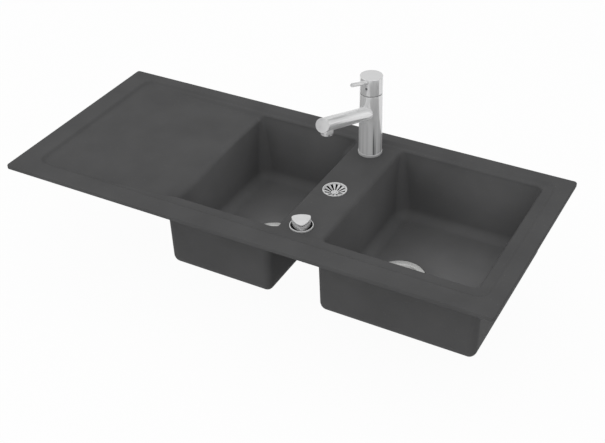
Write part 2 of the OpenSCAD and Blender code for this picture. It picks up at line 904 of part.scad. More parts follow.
module control_knob() {
    groove_z = knob_z1 - knob_cover_t - knob_groove_h;
    color([0.78, 0.79, 0.8]) at_control() difference() {
        union() {
            translate([0, 0, knob_z0]) linear_extrude(groove_z - knob_z0) knob_outline(0);
            translate([0, 0, groove_z]) linear_extrude(knob_groove_h) knob_outline(knob_groove_w);
        }
        disc(spindle_r, knob_z0 - over, knob_z0 + knob_hole_depth);
    }
}

module control_knob_cover() {
    z = knob_z1 - knob_cover_t;
    color([0.85, 0.86, 0.87]) at_control() union() {
        translate([0, 0, z]) linear_extrude(knob_cover_t - knob_groove_w / 2) knob_outline(0);
        translate([0, 0, z]) linear_extrude(knob_cover_t) knob_outline(knob_groove_w / 2);
    }
}

module control_spindle() {
    color([0.7, 0.71, 0.72]) at_control() disc(spindle_r, drum_z0, knob_z0 + knob_hole_depth);
}

module control_bush() {
    color([0.9, 0.9, 0.88]) at_control()
        ring(spindle_r + running, control_tube_r - control_tube_t, bush_z0, bush_z0 + control_bush_len);
}

module control_washer() {
    color([0.15, 0.15, 0.15]) at_control()
        ring(control_tube_r + running, control_nut_r, -tray_drop - control_washer_t, -tray_drop);
}

module control_nut() {
    z = -tray_drop - control_washer_t;
    color([0.85, 0.85, 0.83]) at_control() difference() {
        translate([0, 0, z - control_nut_t]) cylinder(r = control_nut_r, h = control_nut_t, $fn = 6);
        disc(control_tube_r, z - control_nut_t - over, z + over);
    }
}

module control_housing() {
    gland_z = (drum_z0 + drum_z1) / 2;
    color([0.12, 0.12, 0.13]) at_control() difference() {
        union() {
            disc(housing_r, housing_z0, tube_end_z + housing_lap);
            translate([drum_r - drum_groove_r, 0, gland_z]) rotate([90, 0, 0])
                cylinder(r = gland_r, h = housing_r + gland_len);
        }
        disc(control_tube_r, tube_end_z, tube_end_z + housing_lap + over);
        disc(control_tube_r, housing_z0 + housing_t, tube_end_z + over);
        translate([drum_r - drum_groove_r, 0, gland_z]) rotate([90, 0, 0])
            cylinder(r = gland_hole_r, h = housing_r + gland_len + over);
    }
}

module control_drum() {
    z = (drum_z0 + drum_z1) / 2;
    color([0.9, 0.9, 0.88]) at_control() rotate_extrude() difference() {
        translate([spindle_r, drum_z0]) square([drum_r - spindle_r, drum_h]);
        translate([drum_r, z]) circle(drum_groove_r);
    }
}

// Tap, drawn on its own axis

module at_tap() {
    translate([tap_x, tap_y, 0]) children();
}

module tap_foot_seal() {
    color([0.15, 0.15, 0.15]) at_tap()
        ring(tap_hole_r + foot_seal_in, foot_flange_r - foot_seal_in, deck_z, foot_z);
}

module tap_foot_ring() {
    z = deck_z + foot_ring_h;
    color([0.8, 0.81, 0.82]) at_tap() difference() {
        rotate_extrude() union() {
            square_section(foot_r, deck_z, z - foot_edge_r);
            square_section(foot_r - foot_edge_r, deck_z, z);
            translate([foot_r - foot_edge_r, z - foot_edge_r]) circle(foot_edge_r);
        }
        disc(foot_flange_r, deck_z - over, z + over);
    }
}

module seal_ring_section(z) {
    translate([collar_r - seal_groove / 2 + seal_stand_out, z]) circle(seal_groove / 2);
}

seal_zs = [spout_z - collar_below - collar_h / 2, spout_z + collar_above + collar_h / 2];

module tap_column() {
    collar_z0 = spout_z - collar_below - collar_h;
    collar_z1 = spout_z - collar_below;
    upper_z0 = spout_z + collar_above;
    color([0.72, 0.62, 0.36]) at_tap() difference() {
        rotate_extrude() difference() {
            polygon([
                [0, foot_z], [foot_flange_r, foot_z], [foot_flange_r, foot_z + foot_flange_t],
                [column_r, foot_z + foot_flange_t], [column_r, collar_z0], [collar_r, collar_z0],
                [collar_r, collar_z1], [column_r, collar_z1], [column_r, upper_z0],
                [collar_r, upper_z0], [collar_r, column_top_z], [0, column_top_z]
            ]);
            for (z = seal_zs) seal_ring_section(z);
        }
        disc(cartridge_r, cartridge_z, column_top_z + over);
        for (side = [-1, 1]) translate([side * inlet_pitch / 2, 0, 0]) {
            disc(inlet_r, foot_z - over, foot_z + inlet_depth);
            disc(duct_r, foot_z, cartridge_z + over);
        }
        translate([0, -duct_out, 0]) disc(duct_r, spout_z - duct_r - over, cartridge_z + over);
        translate([0, -duct_out, spout_z]) rotate([90, 0, 0]) cylinder(r = port_r, h = column_r);
    }
}

module column_seals() {
    color([0.1, 0.1, 0.1]) at_tap() for (z = seal_zs) rotate_extrude() seal_ring_section(z);
}

module tap_shank() {
    color([0.72, 0.62, 0.36]) at_tap() ring(shank_r - shank_t, shank_r, foot_z - shank_len, foot_z);
}

rubber_z = -tray_drop - rubber_washer_t;
steel_z = rubber_z - steel_washer_t;

module tap_rubber_washer() {
    color([0.12, 0.12, 0.12]) at_tap() ring(shank_r + washer_gap, washer_r, rubber_z, -tray_drop);
}

module tap_steel_washer() {
    color([0.75, 0.75, 0.76]) at_tap() ring(shank_r + washer_gap, washer_r, steel_z, rubber_z);
}

module tap_nut() {
    color([0.72, 0.62, 0.36]) at_tap() difference() {
        translate([0, 0, steel_z - nut_t]) cylinder(r = nut_r, h = nut_t, $fn = 6);
        disc(shank_r, steel_z - nut_t - over, steel_z + over);
    }
}

module lower_glide_ring() {
    z = foot_z + foot_flange_t;
    color([0.92, 0.92, 0.9]) at_tap() ring(sleeve_bore_r, foot_flange_r, z, z + glide_t);
}

module upper_glide_ring() {
    color([0.1, 0.1, 0.1]) at_tap()
        ring(collar_r, tap_r - dome_seat_in, sleeve_z1 + face_gap, sleeve_z1 + face_gap + glide_t);
}

// The sleeve's outer cone, also used to cut the spout's root
module sleeve_cone(extra) {
    translate([0, 0, sleeve_z0 - extra])
        cylinder(r1 = foot_r - foot_edge_r, r2 = tap_r, h = sleeve_z1 - sleeve_z0 + 2 * extra);
}

module along_spout(r, l0, l1) {
    translate([0, 0, spout_z]) rotate([90 - spout_rise, 0, 0]) translate([0, 0, l0])
        cylinder(r = r, h = l1 - l0);
}

module tap_sleeve() {
    color([0.8, 0.81, 0.82]) at_tap() difference() {
        sleeve_cone(0);
        disc(sleeve_bore_r, sleeve_z0 - over, sleeve_z1 + over);
        along_spout(spout_r - spout_t, 0, foot_r + spout_r);
    }
}

module spout_tube() {
    boss_y = aerator_y - tap_y;
    color([0.8, 0.81, 0.82]) at_tap() difference() {
        union() {
            along_spout(spout_r, column_r, spout_len - end_cap_t);
            intersection() {
                translate([0, boss_y, 0]) disc(aerator_boss_r, aerator_z, aerator_axis_z);
                along_spout(spout_r + spout_r, 0, spout_len - end_cap_t);
            }
        }
        along_spout(spout_r - spout_t, 0, spout_len);
        translate([0, boss_y, 0]) disc(aerator_r, aerator_z - over, aerator_axis_z);
        sleeve_cone(0);
    }
}

module spout_end_cap() {
    color([0.85, 0.86, 0.87]) at_tap() along_spout(spout_r, spout_len - end_cap_t, spout_len);
}

module aerator_ring() {
    color([0.8, 0.81, 0.82]) at_tap() translate([0, aerator_y - tap_y, 0])
        ring(aerator_r - aerator_ring_t, aerator_r, aerator_z, aerator_z + aerator_h);
}

module aerator_insert() {
    color([0.85, 0.85, 0.85]) at_tap() translate([0, aerator_y - tap_y, 0]) difference() {
        disc(aerator_r - aerator_ring_t, aerator_z + aerator_ring_t, aerator_z + aerator_h);
        for (i = [-aerator_rows:aerator_rows], j = [-aerator_rows:aerator_rows])
            if (norm([i, j]) <= aerator_rows)
                translate([i * aerator_hole_pitch, j * aerator_hole_pitch, 0])
                    disc(aerator_hole_r, aerator_z, aerator_z + aerator_h + over);
    }
}

// Cartridge and handle

module cartridge() {
    color([0.9, 0.9, 0.9]) at_tap() difference() {
        disc(cartridge_r, cartridge_z, column_top_z);
        disc(carrier_r + running, cartridge_z + cartridge_floor, column_top_z + over);
        for (side = [-1, 1]) translate([side * inlet_pitch / 2, 0, 0])
            disc(duct_r, cartridge_z - over, cartridge_z + cartridge_floor + over);
        translate([0, -duct_out, 0]) disc(duct_r, cartridge_z - over, cartridge_z + cartridge_floor + over);
    }
}

carrier_z0 = cartridge_z + cartridge_floor + face_gap;

module stem_carrier() {
    color([0.3, 0.45, 0.7]) at_tap() difference() {
        disc(carrier_r, carrier_z0, column_top_z);
        bar(-stem_slot_w / 2, stem_slot_w / 2, -carrier_r - over, carrier_r + over,
            pivot_z - stem_tail - stem_tail_gap, column_top_z + over);
        translate([0, 0, pivot_z]) rotate([0, 90, 0]) translate([0, 0, -carrier_r - over])
            cylinder(r = stem_pin_r, h = 2 * (carrier_r + over));
    }
}

module stem_pin() {
    color([0.7, 0.7, 0.72]) at_tap() translate([gap - carrier_r, 0, pivot_z]) rotate([0, 90, 0])
        cylinder(r = stem_pin_r, h = 2 * (carrier_r - gap));
}

module stem_bar(w, z0, z1) {
    bar(-w / 2, w / 2, -w / 2, w / 2, z0, z1);
}

module handle_stem() {
    color([0.72, 0.62, 0.36]) at_tap() difference() {
        stem_bar(stem_w, pivot_z - stem_tail, stem_top_z);
        translate([0, 0, pivot_z]) rotate([0, 90, 0]) translate([0, 0, -stem_w])
            cylinder(r = stem_pin_r + running, h = 2 * stem_w);
    }
}

module dome_ring() {
    z = column_top_z;
    seat_z1 = sleeve_z1 + face_gap + glide_t;
    color([0.8, 0.81, 0.82]) at_tap() rotate_extrude() intersection() {
        union() {
            translate([dome_hole_r, z]) square([collar_r - dome_hole_r, cap_h]);
            translate([dome_hole_r, seat_z1]) square([tap_r - dome_seat_in - dome_hole_r, cap_h]);
        }
        translate([0, pivot_z]) circle(cap_sphere_r - handle_gap);
    }
}

module along_lever(r, l0, l1) {
    translate([0, 0, lever_z]) rotate([90 - lever_rise, 0, 0]) translate([0, 0, l0])
        cylinder(r = r, h = l1 - l0);
}

module handle_cap() {
    grub_z = cap_z - grub_drop;
    color([0.8, 0.81, 0.82]) at_tap() difference() {
        rotate_extrude() difference() {
            union() {
                square_section(tap_r, pivot_z, cap_z - cap_edge_r);
                square_section(tap_r - cap_edge_r, pivot_z, cap_z);
                translate([tap_r - cap_edge_r, cap_z - cap_edge_r]) circle(cap_edge_r);
            }
            intersection() {
                translate([0, pivot_z]) circle(cap_sphere_r);
                square_section(cap_sphere_r, pivot_z, cap_z);
            }
            translate([cap_boss_r, pivot_z])
                square([tap_r - cap_wall - cap_boss_r, cap_z - cap_top_t - pivot_z]);
        }
        stem_bar(stem_w, pivot_z, stem_top_z);
        along_lever(lever_r, lever_root, lever_len);
        translate([0, 0, grub_z]) rotate([90, 0, 0]) cylinder(r = grub_r, h = cap_boss_r + over);
        translate([0, cap_wall + over - tap_r, grub_z]) rotate([90, 0, 0])
            cylinder(r = index_r, h = tap_r);
    }
}

module handle_lever() {
    color([0.8, 0.81, 0.82]) at_tap() translate([0, 0, lever_z]) rotate([90 - lever_rise, 0, 0])
        rotate_extrude() union() {
            square_section(lever_r, lever_root, lever_len - lever_end_r);
            square_section(lever_r - lever_end_r, lever_root, lever_len);
            translate([lever_r - lever_end_r, lever_len - lever_end_r]) circle(lever_end_r);
        }
}

module handle_screw() {
    color([0.4, 0.4, 0.42]) at_tap() translate([0, -stem_w / 2, cap_z - grub_drop]) rotate([90, 0, 0])
        difference() {
            cylinder(r = grub_r, h = cap_boss_r - stem_w / 2);
            translate([0, 0, cap_boss_r - stem_w / 2 - grub_r / 2])
                cylinder(r = grub_r / 2, h = over, $fn = 6);
        }
}

module index_plug() {
    color([0.25, 0.25, 0.27]) at_tap() translate([0, -tap_r + cap_wall, cap_z - grub_drop])
        rotate([90, 0, 0]) cylinder(r = index_r, h = index_t);
}

sink_body();
left_waste_flange();
left_flange_gasket();
left_body_gasket();
left_waste_body();
left_centre_screw();
left_basket();
left_basket_seal();
left_basket_knob();
right_waste_flange();
right_flange_gasket();
right_body_gasket();
right_waste_body();
right_centre_screw();
right_basket();
right_basket_seal();
right_basket_knob();
right_lift_pin();
right_lift_arm();
overflow_grille();
overflow_screw();
overflow_gasket();
overflow_elbow();
control_escutcheon();
control_knob();
control_knob_cover();
control_spindle();
control_bush();
control_washer();
control_nut();
control_housing();
control_drum();
tap_foot_seal();
tap_foot_ring();
tap_column();
tap_shank();
tap_rubber_washer();
tap_steel_washer();
tap_nut();
lower_glide_ring();
upper_glide_ring();
column_seals();
tap_sleeve();
spout_tube();
spout_end_cap();
aerator_ring();
aerator_insert();
cartridge();
stem_carrier();
stem_pin();
handle_stem();
dome_ring();
handle_cap();
handle_lever();
handle_screw();
index_plug();
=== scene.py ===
# %% [markdown]
# # A double bowl sink in moulded stone composite, with its tap
#
# The real sink is one heavy casting. A mix of quartz grains and resin is poured between two moulds, so
# every edge is soft and the skin is matt. The fittings on it are turned, bent and pressed metal with
# bright chrome on top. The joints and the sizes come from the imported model, which is loaded first and
# never changed. Each piece below is then drawn again with the detail that an eye looks for.

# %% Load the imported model
import json
import math

import bmesh
import bpy
from mathutils import Matrix, Vector


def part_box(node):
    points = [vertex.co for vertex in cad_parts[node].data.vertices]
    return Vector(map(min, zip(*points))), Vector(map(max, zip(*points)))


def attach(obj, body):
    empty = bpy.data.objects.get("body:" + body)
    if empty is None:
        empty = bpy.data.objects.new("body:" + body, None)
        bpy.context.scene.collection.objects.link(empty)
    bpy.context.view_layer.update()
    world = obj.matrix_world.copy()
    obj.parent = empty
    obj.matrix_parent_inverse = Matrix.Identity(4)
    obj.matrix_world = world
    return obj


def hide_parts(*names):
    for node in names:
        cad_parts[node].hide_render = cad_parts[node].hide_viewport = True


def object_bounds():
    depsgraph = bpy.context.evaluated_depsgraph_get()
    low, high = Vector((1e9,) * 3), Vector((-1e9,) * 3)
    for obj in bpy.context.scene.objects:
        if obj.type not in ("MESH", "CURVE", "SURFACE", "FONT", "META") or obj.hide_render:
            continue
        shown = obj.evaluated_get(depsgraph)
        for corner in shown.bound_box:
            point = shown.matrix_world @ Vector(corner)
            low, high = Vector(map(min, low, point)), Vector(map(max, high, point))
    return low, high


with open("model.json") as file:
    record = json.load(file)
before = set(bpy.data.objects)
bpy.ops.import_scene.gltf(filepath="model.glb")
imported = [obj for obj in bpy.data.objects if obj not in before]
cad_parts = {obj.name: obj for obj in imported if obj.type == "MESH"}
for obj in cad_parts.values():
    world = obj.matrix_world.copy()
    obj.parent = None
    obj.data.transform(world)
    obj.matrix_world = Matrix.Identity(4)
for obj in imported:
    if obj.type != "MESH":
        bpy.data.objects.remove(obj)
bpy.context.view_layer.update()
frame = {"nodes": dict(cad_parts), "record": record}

mm = 0.001

# %% [markdown]
# ## Camera
#
# The photograph is taken from the front right, well above the worktop, with a long lens. The camera is
# described by where it stands, where it looks, how far it leans and how long its lens is. All four were
# fitted to the rim's corners, the bowls and the tap.

# %% Place the camera
camera_place = Vector((1.0161, -1.7343, 1.3068))
camera_forward = Vector((-0.3999, 0.7101, -0.5795)).normalized()
camera_lean = math.radians(-1.394)
camera_lens = 64.49
film_width = 36.0

camera_data = bpy.data.cameras.new("photo_camera")
camera_data.sensor_width = film_width
camera_data.lens = camera_lens
camera = bpy.data.objects.new("photo_camera", camera_data)
bpy.context.scene.collection.objects.link(camera)
camera.matrix_world = (
    Matrix.Translation(camera_place)
    @ camera_forward.to_track_quat("-Z", "Y").to_matrix().to_4x4()
    @ Matrix.Rotation(camera_lean, 4, "Z")
)
bpy.context.scene.camera = camera
bpy.context.scene.view_settings.view_transform = "Standard"
print("camera looks along", [round(value, 3) for value in camera_forward])

# %% [markdown]
# ## Small tools
#
# Three tools shape almost everything here. `lathe` spins half an outline round an upright axis, as a
# turner does. `sheet_of` starts from a flat grid and moves each of its points to a place on a form, as a
# pattern maker drapes a net. `carved` takes one shape out of another, as a drill or a mill does. Then
# `finish_piece` makes an object of the mesh, with its body and material, and keeps hard edges hard.

# %% Blends and arcs
quarter_turn = math.pi / 2


def mix(a, b, share):
    return a + (b - a) * share


def quarter(steps):
    """The angles from 0 to a quarter turn, in equal steps."""
    return [quarter_turn * step / steps for step in range(steps + 1)]


def smooth(share):
    """0 below 0, 1 above 1, and a soft S between."""
    share = min(1.0, max(0.0, share))
    return share * share * (3 - 2 * share)


def softened(corners, steps=5):
    """A closed outline of (radius, height, rounding) corners, with each rounding drawn as an arc."""
    most = 0.49
    points = []
    for index, (r, z, rounding) in enumerate(corners):
        here = Vector((r, z))
        before = Vector(corners[index - 1][:2]) - here
        after = Vector(corners[(index + 1) % len(corners)][:2]) - here
        if rounding <= 0:
            points.append(here)
            continue
        half = before.angle(after) / 2
        reach = min(rounding / math.tan(half), most * before.length, most * after.length)
        radius = reach * math.tan(half)
        hub = here + (before.normalized() + after.normalized()).normalized() * radius / math.sin(half)
        start = here + before.normalized() * reach - hub
        end = here + after.normalized() * reach - hub
        sweep = start.angle_signed(end)
        for step in range(steps + 1):
            arm = start.copy()
            arm.rotate(Matrix.Rotation(-sweep * step / steps, 2))
            points.append(hub + arm)
    return points


# %% From a mesh to a piece
def clean(bm, merge=1e-6):
    bmesh.ops.remove_doubles(bm, verts=bm.verts, dist=merge)
    bmesh.ops.recalc_face_normals(bm, faces=bm.faces)


def mesh_from(bm, name):
    mesh = bpy.data.meshes.new(name)
    bm.to_mesh(mesh)
    bm.free()
    return mesh


def add_object(name, data):
    thing = bpy.data.objects.new(name, data)
    bpy.context.scene.collection.objects.link(thing)
    return thing


def finish_piece(name, bm, node, body, slot, skin=None, sharp=35, merge=1e-6):
    """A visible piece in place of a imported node, in its slot's finish or in a skin of its own."""
    clean(bm, merge)
    open_edges = sum(1 for edge in bm.edges if len(edge.link_faces) != 2)
    mesh = mesh_from(bm, name)
    mesh.shade_smooth()
    mesh.set_sharp_from_angle(angle=math.radians(sharp))
    mesh.materials.append(skin or by_slot[slot])
    piece = add_object(name, mesh)
    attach(piece, body)
    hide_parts(node)
    print(f"{name}: {len(mesh.polygons)} faces, {open_edges} open edges")
    return piece


# %% The lathe and the draped grid
def lathe(corners, centre=(0, 0), steps=96, arc_steps=5):
    """A turned ring, or a turned solid where the outline starts and ends on the axis, in millimetres."""
    bm = bmesh.new()
    points = softened([(r * mm, z * mm, rounding * mm) for r, z, rounding in corners], arc_steps)
    verts = [bm.verts.new((centre[0] + r, centre[1], z)) for r, z in points]
    is_ring = corners[0][0] > 0
    pairs = list(zip(verts, verts[1:])) + ([(verts[-1], verts[0])] if is_ring else [])
    edges = [bm.edges.new(pair) for pair in pairs]
    bmesh.ops.spin(
        bm, geom=verts + edges, cent=(*centre, 0), axis=(0, 0, 1),
        angle=math.tau, steps=steps, use_merge=True,
    )
    clean(bm)
    return bm


def tilted(bm, place, rise):
    """Lays a turned piece along a line that leaves place towards the front and climbs by rise degrees."""
    turn = Matrix.Rotation(math.radians(90 - rise), 4, "X")
    bm.transform(Matrix.Translation(place) @ turn)
    return bm


def joined(*parts):
    """Several shells in one mesh."""
    whole = bmesh.new()
    for part in parts:
        mesh = mesh_from(part, "part")
        whole.from_mesh(mesh)
        bpy.data.meshes.remove(mesh)
    return whole


def carved(bm, cutter):
    """The mesh bm without what lies inside cutter."""
    pair = [add_object("carving", mesh_from(part, "carving")) for part in (bm, cutter)]
    work = pair[0].modifiers.new("carve", "BOOLEAN")
    work.object = pair[1]
    work.operation = "DIFFERENCE"
    work.solver = "EXACT"
    graph = bpy.context.evaluated_depsgraph_get()
    result = bpy.data.meshes.new_from_object(pair[0].evaluated_get(graph))
    done = bmesh.new()
    done.from_mesh(result)
    bpy.data.meshes.remove(result)
    for thing in pair:
        bpy.data.meshes.remove(thing.data)
    return done


def drill(r, z0, z1, centre=(0, 0), steps=64):
    """A plain round cutter, in millimetres."""
    return lathe([(0, z0, 0), (r, z0, 0), (r, z1, 0), (0, z1, 0)], centre, steps)


def block(x0, x1, y0, y1, z0, z1):
    """A plain square cutter, in millimetres."""
    bm = bmesh.new()
    size = Vector((x1 - x0, y1 - y0, z1 - z0)) * mm
    middle = Vector((x0 + x1, y0 + y1, z0 + z1)) * mm / 2
    bmesh.ops.create_cube(bm, size=1, matrix=Matrix.Translation(middle) @ Matrix.Diagonal((*size, 1)))
    return bm


def sheet_of(bm, columns, rows, place):
    """A grid whose point at column i and row k goes to place(i, k)."""
    made = bmesh.ops.create_grid(bm, x_segments=columns, y_segments=rows, size=0.5)
    for vert in made["verts"]:
        i = round((vert.co.x + 0.5) * columns)
        k = round((vert.co.y + 0.5) * rows)
        vert.co = place(i, k)


# %% [markdown]
# ## Materials
#
# Each finish is a small node tree of its own. Noise at the real scale of grains, brush lines or moulding
# changes the colour, the roughness and the surface a little, because nothing real has one flat colour.
# Two finishes hold painted light: streaks of painted reflection on the tap's upright and spout chrome,
# and a near black chrome of painted shade under the fittings' visible skins.

# %% A starting point for all the finishes
def new_finish(name, colour, metallic, roughness):
    material = bpy.data.materials.new(name)
    material.use_nodes = True
    shader = material.node_tree.nodes["Principled BSDF"]
    shader.inputs["Base Color"].default_value = (*colour, 1)
    shader.inputs["Metallic"].default_value = metallic
    shader.inputs["Roughness"].default_value = roughness
    material.diffuse_color = (*colour, 1)
    return material, shader


def join(owner, source, output, target, socket):
    owner.node_tree.links.new(source.outputs[output], target.inputs[socket])


def add_node(owner, kind, wires=(), **settings):
    """A node of a material or of the world. Each wire is a socket of it, a source node and its output."""
    node = owner.node_tree.nodes.new(kind)
    for key, value in settings.items():
        if key in node.inputs:
            node.inputs[key].default_value = value
        else:
            setattr(node, key, value)
    for socket, source, output in wires:
        join(owner, source, output, node, socket)
    return node


def ranged(owner, source, output, before=(0, 1), after=(0, 1)):
    """Turns the range before into the range after."""
    node = add_node(owner, "ShaderNodeMapRange", [("Value", source, output)])
    for socket, value in zip(("From Min", "From Max", "To Min", "To Max"), (*before, *after)):
        node.inputs[socket].default_value = value
    return node


def object_noise(material, scale, detail=4.0, stretch=(1, 1, 1), rise=0.0):
    """Noise fixed to the piece, 1 / scale metres in size, drawn out by stretch and leaned by rise."""
    place = add_node(material, "ShaderNodeTexCoord")
    mapping = add_node(material, "ShaderNodeMapping", [("Vector", place, "Object")], vector_type="TEXTURE")
    mapping.inputs["Scale"].default_value = stretch
    mapping.inputs["Rotation"].default_value = (-math.radians(rise), 0, 0)
    wires = [("Vector", mapping, "Vector")]
    return add_node(material, "ShaderNodeTexNoise", wires, Scale=scale, Detail=detail)


def ramp(material, source, low, high, at=(0.35, 0.65)):
    """Turns a 0 to 1 value into a colour between low and high."""
    node = add_node(material, "ShaderNodeValToRGB", [("Fac", source, 0)])
    for element, place, colour in zip(node.color_ramp.elements, at, (low, high)):
        element.position = place
        element.color = (*colour, 1)
    return node


def covered(material, source, share, colour):
    """The source's colour where share is 0, and the given one where share is 1. Its output is number 2."""
    node = add_node(material, "ShaderNodeMix", [(6, source, "Color"), (0, share, 0)], data_type="RGBA")
    node.inputs[7].default_value = (*colour, 1)
    return node


def vary_roughness(material, shader, source, low, high):
    join(material, ranged(material, source, 0, after=(low, high)), 0, shader, "Roughness")


def add_bump(material, shader, source, height, strength=0.5):
    node = add_node(material, "ShaderNodeBump", [("Height", source, 0)], Strength=strength, Distance=height)
    join(material, node, 0, shader, "Normal")


# %% Stone composite, the sink's own skin
def stone_composite():
    dark, light, grain = (0.081, 0.081, 0.082), (0.096, 0.096, 0.097), (0.155, 0.155, 0.157)
    material, shader = new_finish("stone_composite", dark, 0.0, 0.5)
    shader.inputs["Specular IOR Level"].default_value = 0.06
    clouds = object_noise(material, 9.0, 3.0)
    base = ramp(material, clouds, dark, light, (0.3, 0.7))
    wires = [("Vector", add_node(material, "ShaderNodeTexCoord"), "Object")]
    grains = add_node(material, "ShaderNodeTexVoronoi", wires, Scale=900.0, feature="F1")
    fleck = ranged(material, grains, "Color", (0.93, 0.99))
    join(material, covered(material, base, fleck, grain), 2, shader, "Base Color")
    vary_roughness(material, shader, clouds, 0.55, 0.65)
    add_bump(material, shader, object_noise(material, 1400.0, 2.0), 0.06 * mm)
    return material


# %% Chrome, brushed steel and the other metals
chrome_tone = (0.8, 0.802, 0.805)


def painted_streaks_off_top(material, tone_and_painted_streaks):
    """Keeps the painted reflection streaks off faces that look straight up or down."""
    facing = add_node(material, "ShaderNodeNewGeometry")
    split = add_node(material, "ShaderNodeSeparateXYZ", [(0, facing, "Normal")])
    level = add_node(material, "ShaderNodeMath", [(0, split, "Z")], operation="ABSOLUTE")
    return covered(material, tone_and_painted_streaks, ranged(material, level, 0, (0.9, 0.98)), chrome_tone)


def polished_chrome(name, stretch=None, rise=0.0):
    """Chrome over brass. With stretch, its colour holds painted reflection streaks, drawn out by stretch
    and leaned by rise like the spout.
    """
    material, shader = new_finish(name, chrome_tone, 0.35, 0.14)
    if stretch is None:
        haze_and_painted_streaks = object_noise(material, 60.0, 2.0)
        tone_and_painted_streaks = ramp(material, haze_and_painted_streaks, (0.76, 0.762, 0.765), (0.83, 0.832, 0.835))
        join(material, tone_and_painted_streaks, "Color", shader, "Base Color")
    else:
        # Painted reflection: dark and bright streaks in the base colour stand in for the tent and its flags
        # mirrored in the tap.
        haze_and_painted_streaks = object_noise(material, 110.0, 1.5, stretch, rise)
        tone_and_painted_streaks = ramp(material, haze_and_painted_streaks, (0.22, 0.222, 0.225), (0.83, 0.832, 0.835), (0.34, 0.42))
        tone_and_painted_streaks.color_ramp.elements.new(0.62).color = (0.96, 0.962, 0.965, 1)
        join(material, painted_streaks_off_top(material, tone_and_painted_streaks), 2, shader, "Base Color")
    vary_roughness(material, shader, haze_and_painted_streaks, 0.11, 0.18)
    return material


def brushed_steel():
    dull, bright = (0.6, 0.6, 0.59), (0.74, 0.74, 0.73)
    material, shader = new_finish("brushed_steel", dull, 0.5, 0.3)
    lines = object_noise(material, 500.0, 3.0, (1, 1, 20))
    join(material, ramp(material, lines, dull, bright), "Color", shader, "Base Color")
    vary_roughness(material, shader, lines, 0.22, 0.38)
    add_bump(material, shader, lines, 0.02 * mm, 0.4)
    return material


def plain_metal(name, low, high, roughness):
    material, shader = new_finish(name, high, 1.0, roughness)
    patches = object_noise(material, 180.0)
    join(material, ramp(material, patches, low, high), "Color", shader, "Base Color")
    vary_roughness(material, shader, patches, roughness - 0.06, roughness + 0.08)
    return material


# %% Rubber and the plastics
def moulded(name, low, high, roughness):
    material, shader = new_finish(name, high, 0.0, roughness)
    patches = object_noise(material, 70.0, 3.0)
    join(material, ramp(material, patches, low, high), "Color", shader, "Base Color")
    vary_roughness(material, shader, patches, roughness - 0.05, roughness + 0.07)
    add_bump(material, shader, object_noise(material, 900.0, 2.0), 0.03 * mm)
    return material


# %% Finishes of the slots
spout_rise = 20.4
# The upright and spout chrome carry painted reflection streaks in their colour.
upright_chrome_painted_streaks = polished_chrome("chrome_upright_painted_streaks", (1, 1, 40))
spout_chrome_painted_streaks = polished_chrome("chrome_spout_painted_streaks", (1, 40, 1), spout_rise)
# Painted shade: a near black, dull chrome for faces in recesses and under a part's visible skin, where
# shade falls.
painted_shade_chrome = plain_metal("chrome_painted_shade", (0.02, 0.02, 0.021), (0.035, 0.035, 0.036), 0.5)
by_slot = {
    "sink_stone": stone_composite(),
    "chrome": polished_chrome("chrome"),
    "steel": brushed_steel(),
    "dark_steel": plain_metal("dark_steel", (0.1, 0.1, 0.105), (0.18, 0.18, 0.185), 0.35),
    "brass": plain_metal("brass", (0.52, 0.37, 0.15), (0.66, 0.5, 0.24), 0.28),
    "rubber": moulded("rubber", (0.018, 0.018, 0.018), (0.032, 0.032, 0.032), 0.75),
    "black_plastic": moulded("black_plastic", (0.014, 0.014, 0.016), (0.026, 0.026, 0.028), 0.45),
    "white_plastic": moulded("white_plastic", (0.68, 0.68, 0.65), (0.78, 0.78, 0.75), 0.4),
    "blue_plastic": moulded("blue_plastic", (0.08, 0.16, 0.4), (0.12, 0.22, 0.48), 0.4),
    "grey_plastic": moulded("grey_plastic", (0.15, 0.15, 0.16), (0.22, 0.22, 0.23), 0.4),
}
for part in frame["record"]["subparts"]:
    node = frame["nodes"][part["node"]]
    node.data.materials.clear()
    node.data.materials.append(by_slot[part["material_slot"]])
print(len(by_slot), "finishes on", len(frame["nodes"]), "nodes")

# %% [markdown]
# ## The casting: sizes
#
# The mould has a flat rim, a lowered field inside it, a drainer that falls to the left bowl, and two
# bowls with a lower bridge between them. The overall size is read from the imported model. The rest are
# the sizes that a mould maker would write on the drawing.

# %% Sizes of the casting
sink_low, sink_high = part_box("sink_body")
sink_outline = (sink_low.x, sink_high.x, sink_low.y, sink_high.y)
rim_z = sink_high.z
rim_edge, rim_under_edge = 3 * mm, 1 * mm
rim_corner = 7 * mm
rim_left, rim_right, rim_front, rim_back = 55 * mm, 36 * mm, 48 * mm, 38 * mm
field = (sink_low.x + rim_left, sink_high.x - rim_right, sink_low.y + rim_front, sink_high.y - rim_back)
field_corner = 24 * mm
step_w, step_h = 13 * mm, 5.5 * mm
field_z = rim_z - step_h
deck_fall = 2.5 * mm
drainer_fall = 10.5 * mm
lip = 8 * mm
back_lip = 5.5 * mm
drainer_lip = 26 * mm
start_lip = 9 * mm
corner_top, corner_low = 13 * mm, 30 * mm
cove = 24 * mm
draft = math.tan(math.radians(1.2))
wall = 12 * mm
outer_corner = 20 * mm
outer_cove = 22 * mm
under_z = sink_low.z
floor_thick, rim_thick = 12 * mm, 24 * mm
floor_z = under_z + floor_thick
tray_z = rim_z - rim_thick
tray_out, tray_fillet, tray_edge = 12 * mm, 6 * mm, 3 * mm
shoulder_w, shoulder_h, shoulder_top = 23 * mm, 36 * mm, -6 * mm
ledge_front, ledge_back, ledge_right = 30 * mm, 8 * mm, 26 * mm
right_wide, bridge_wide, left_wide = 334 * mm, 109 * mm, 262 * mm
bowl_y = (field[2] + ledge_front, field[3] - ledge_back)
right_end = field[1] - ledge_right
right_bowl = (right_end - right_wide, right_end, *bowl_y)
left_end = right_bowl[0] - bridge_wide
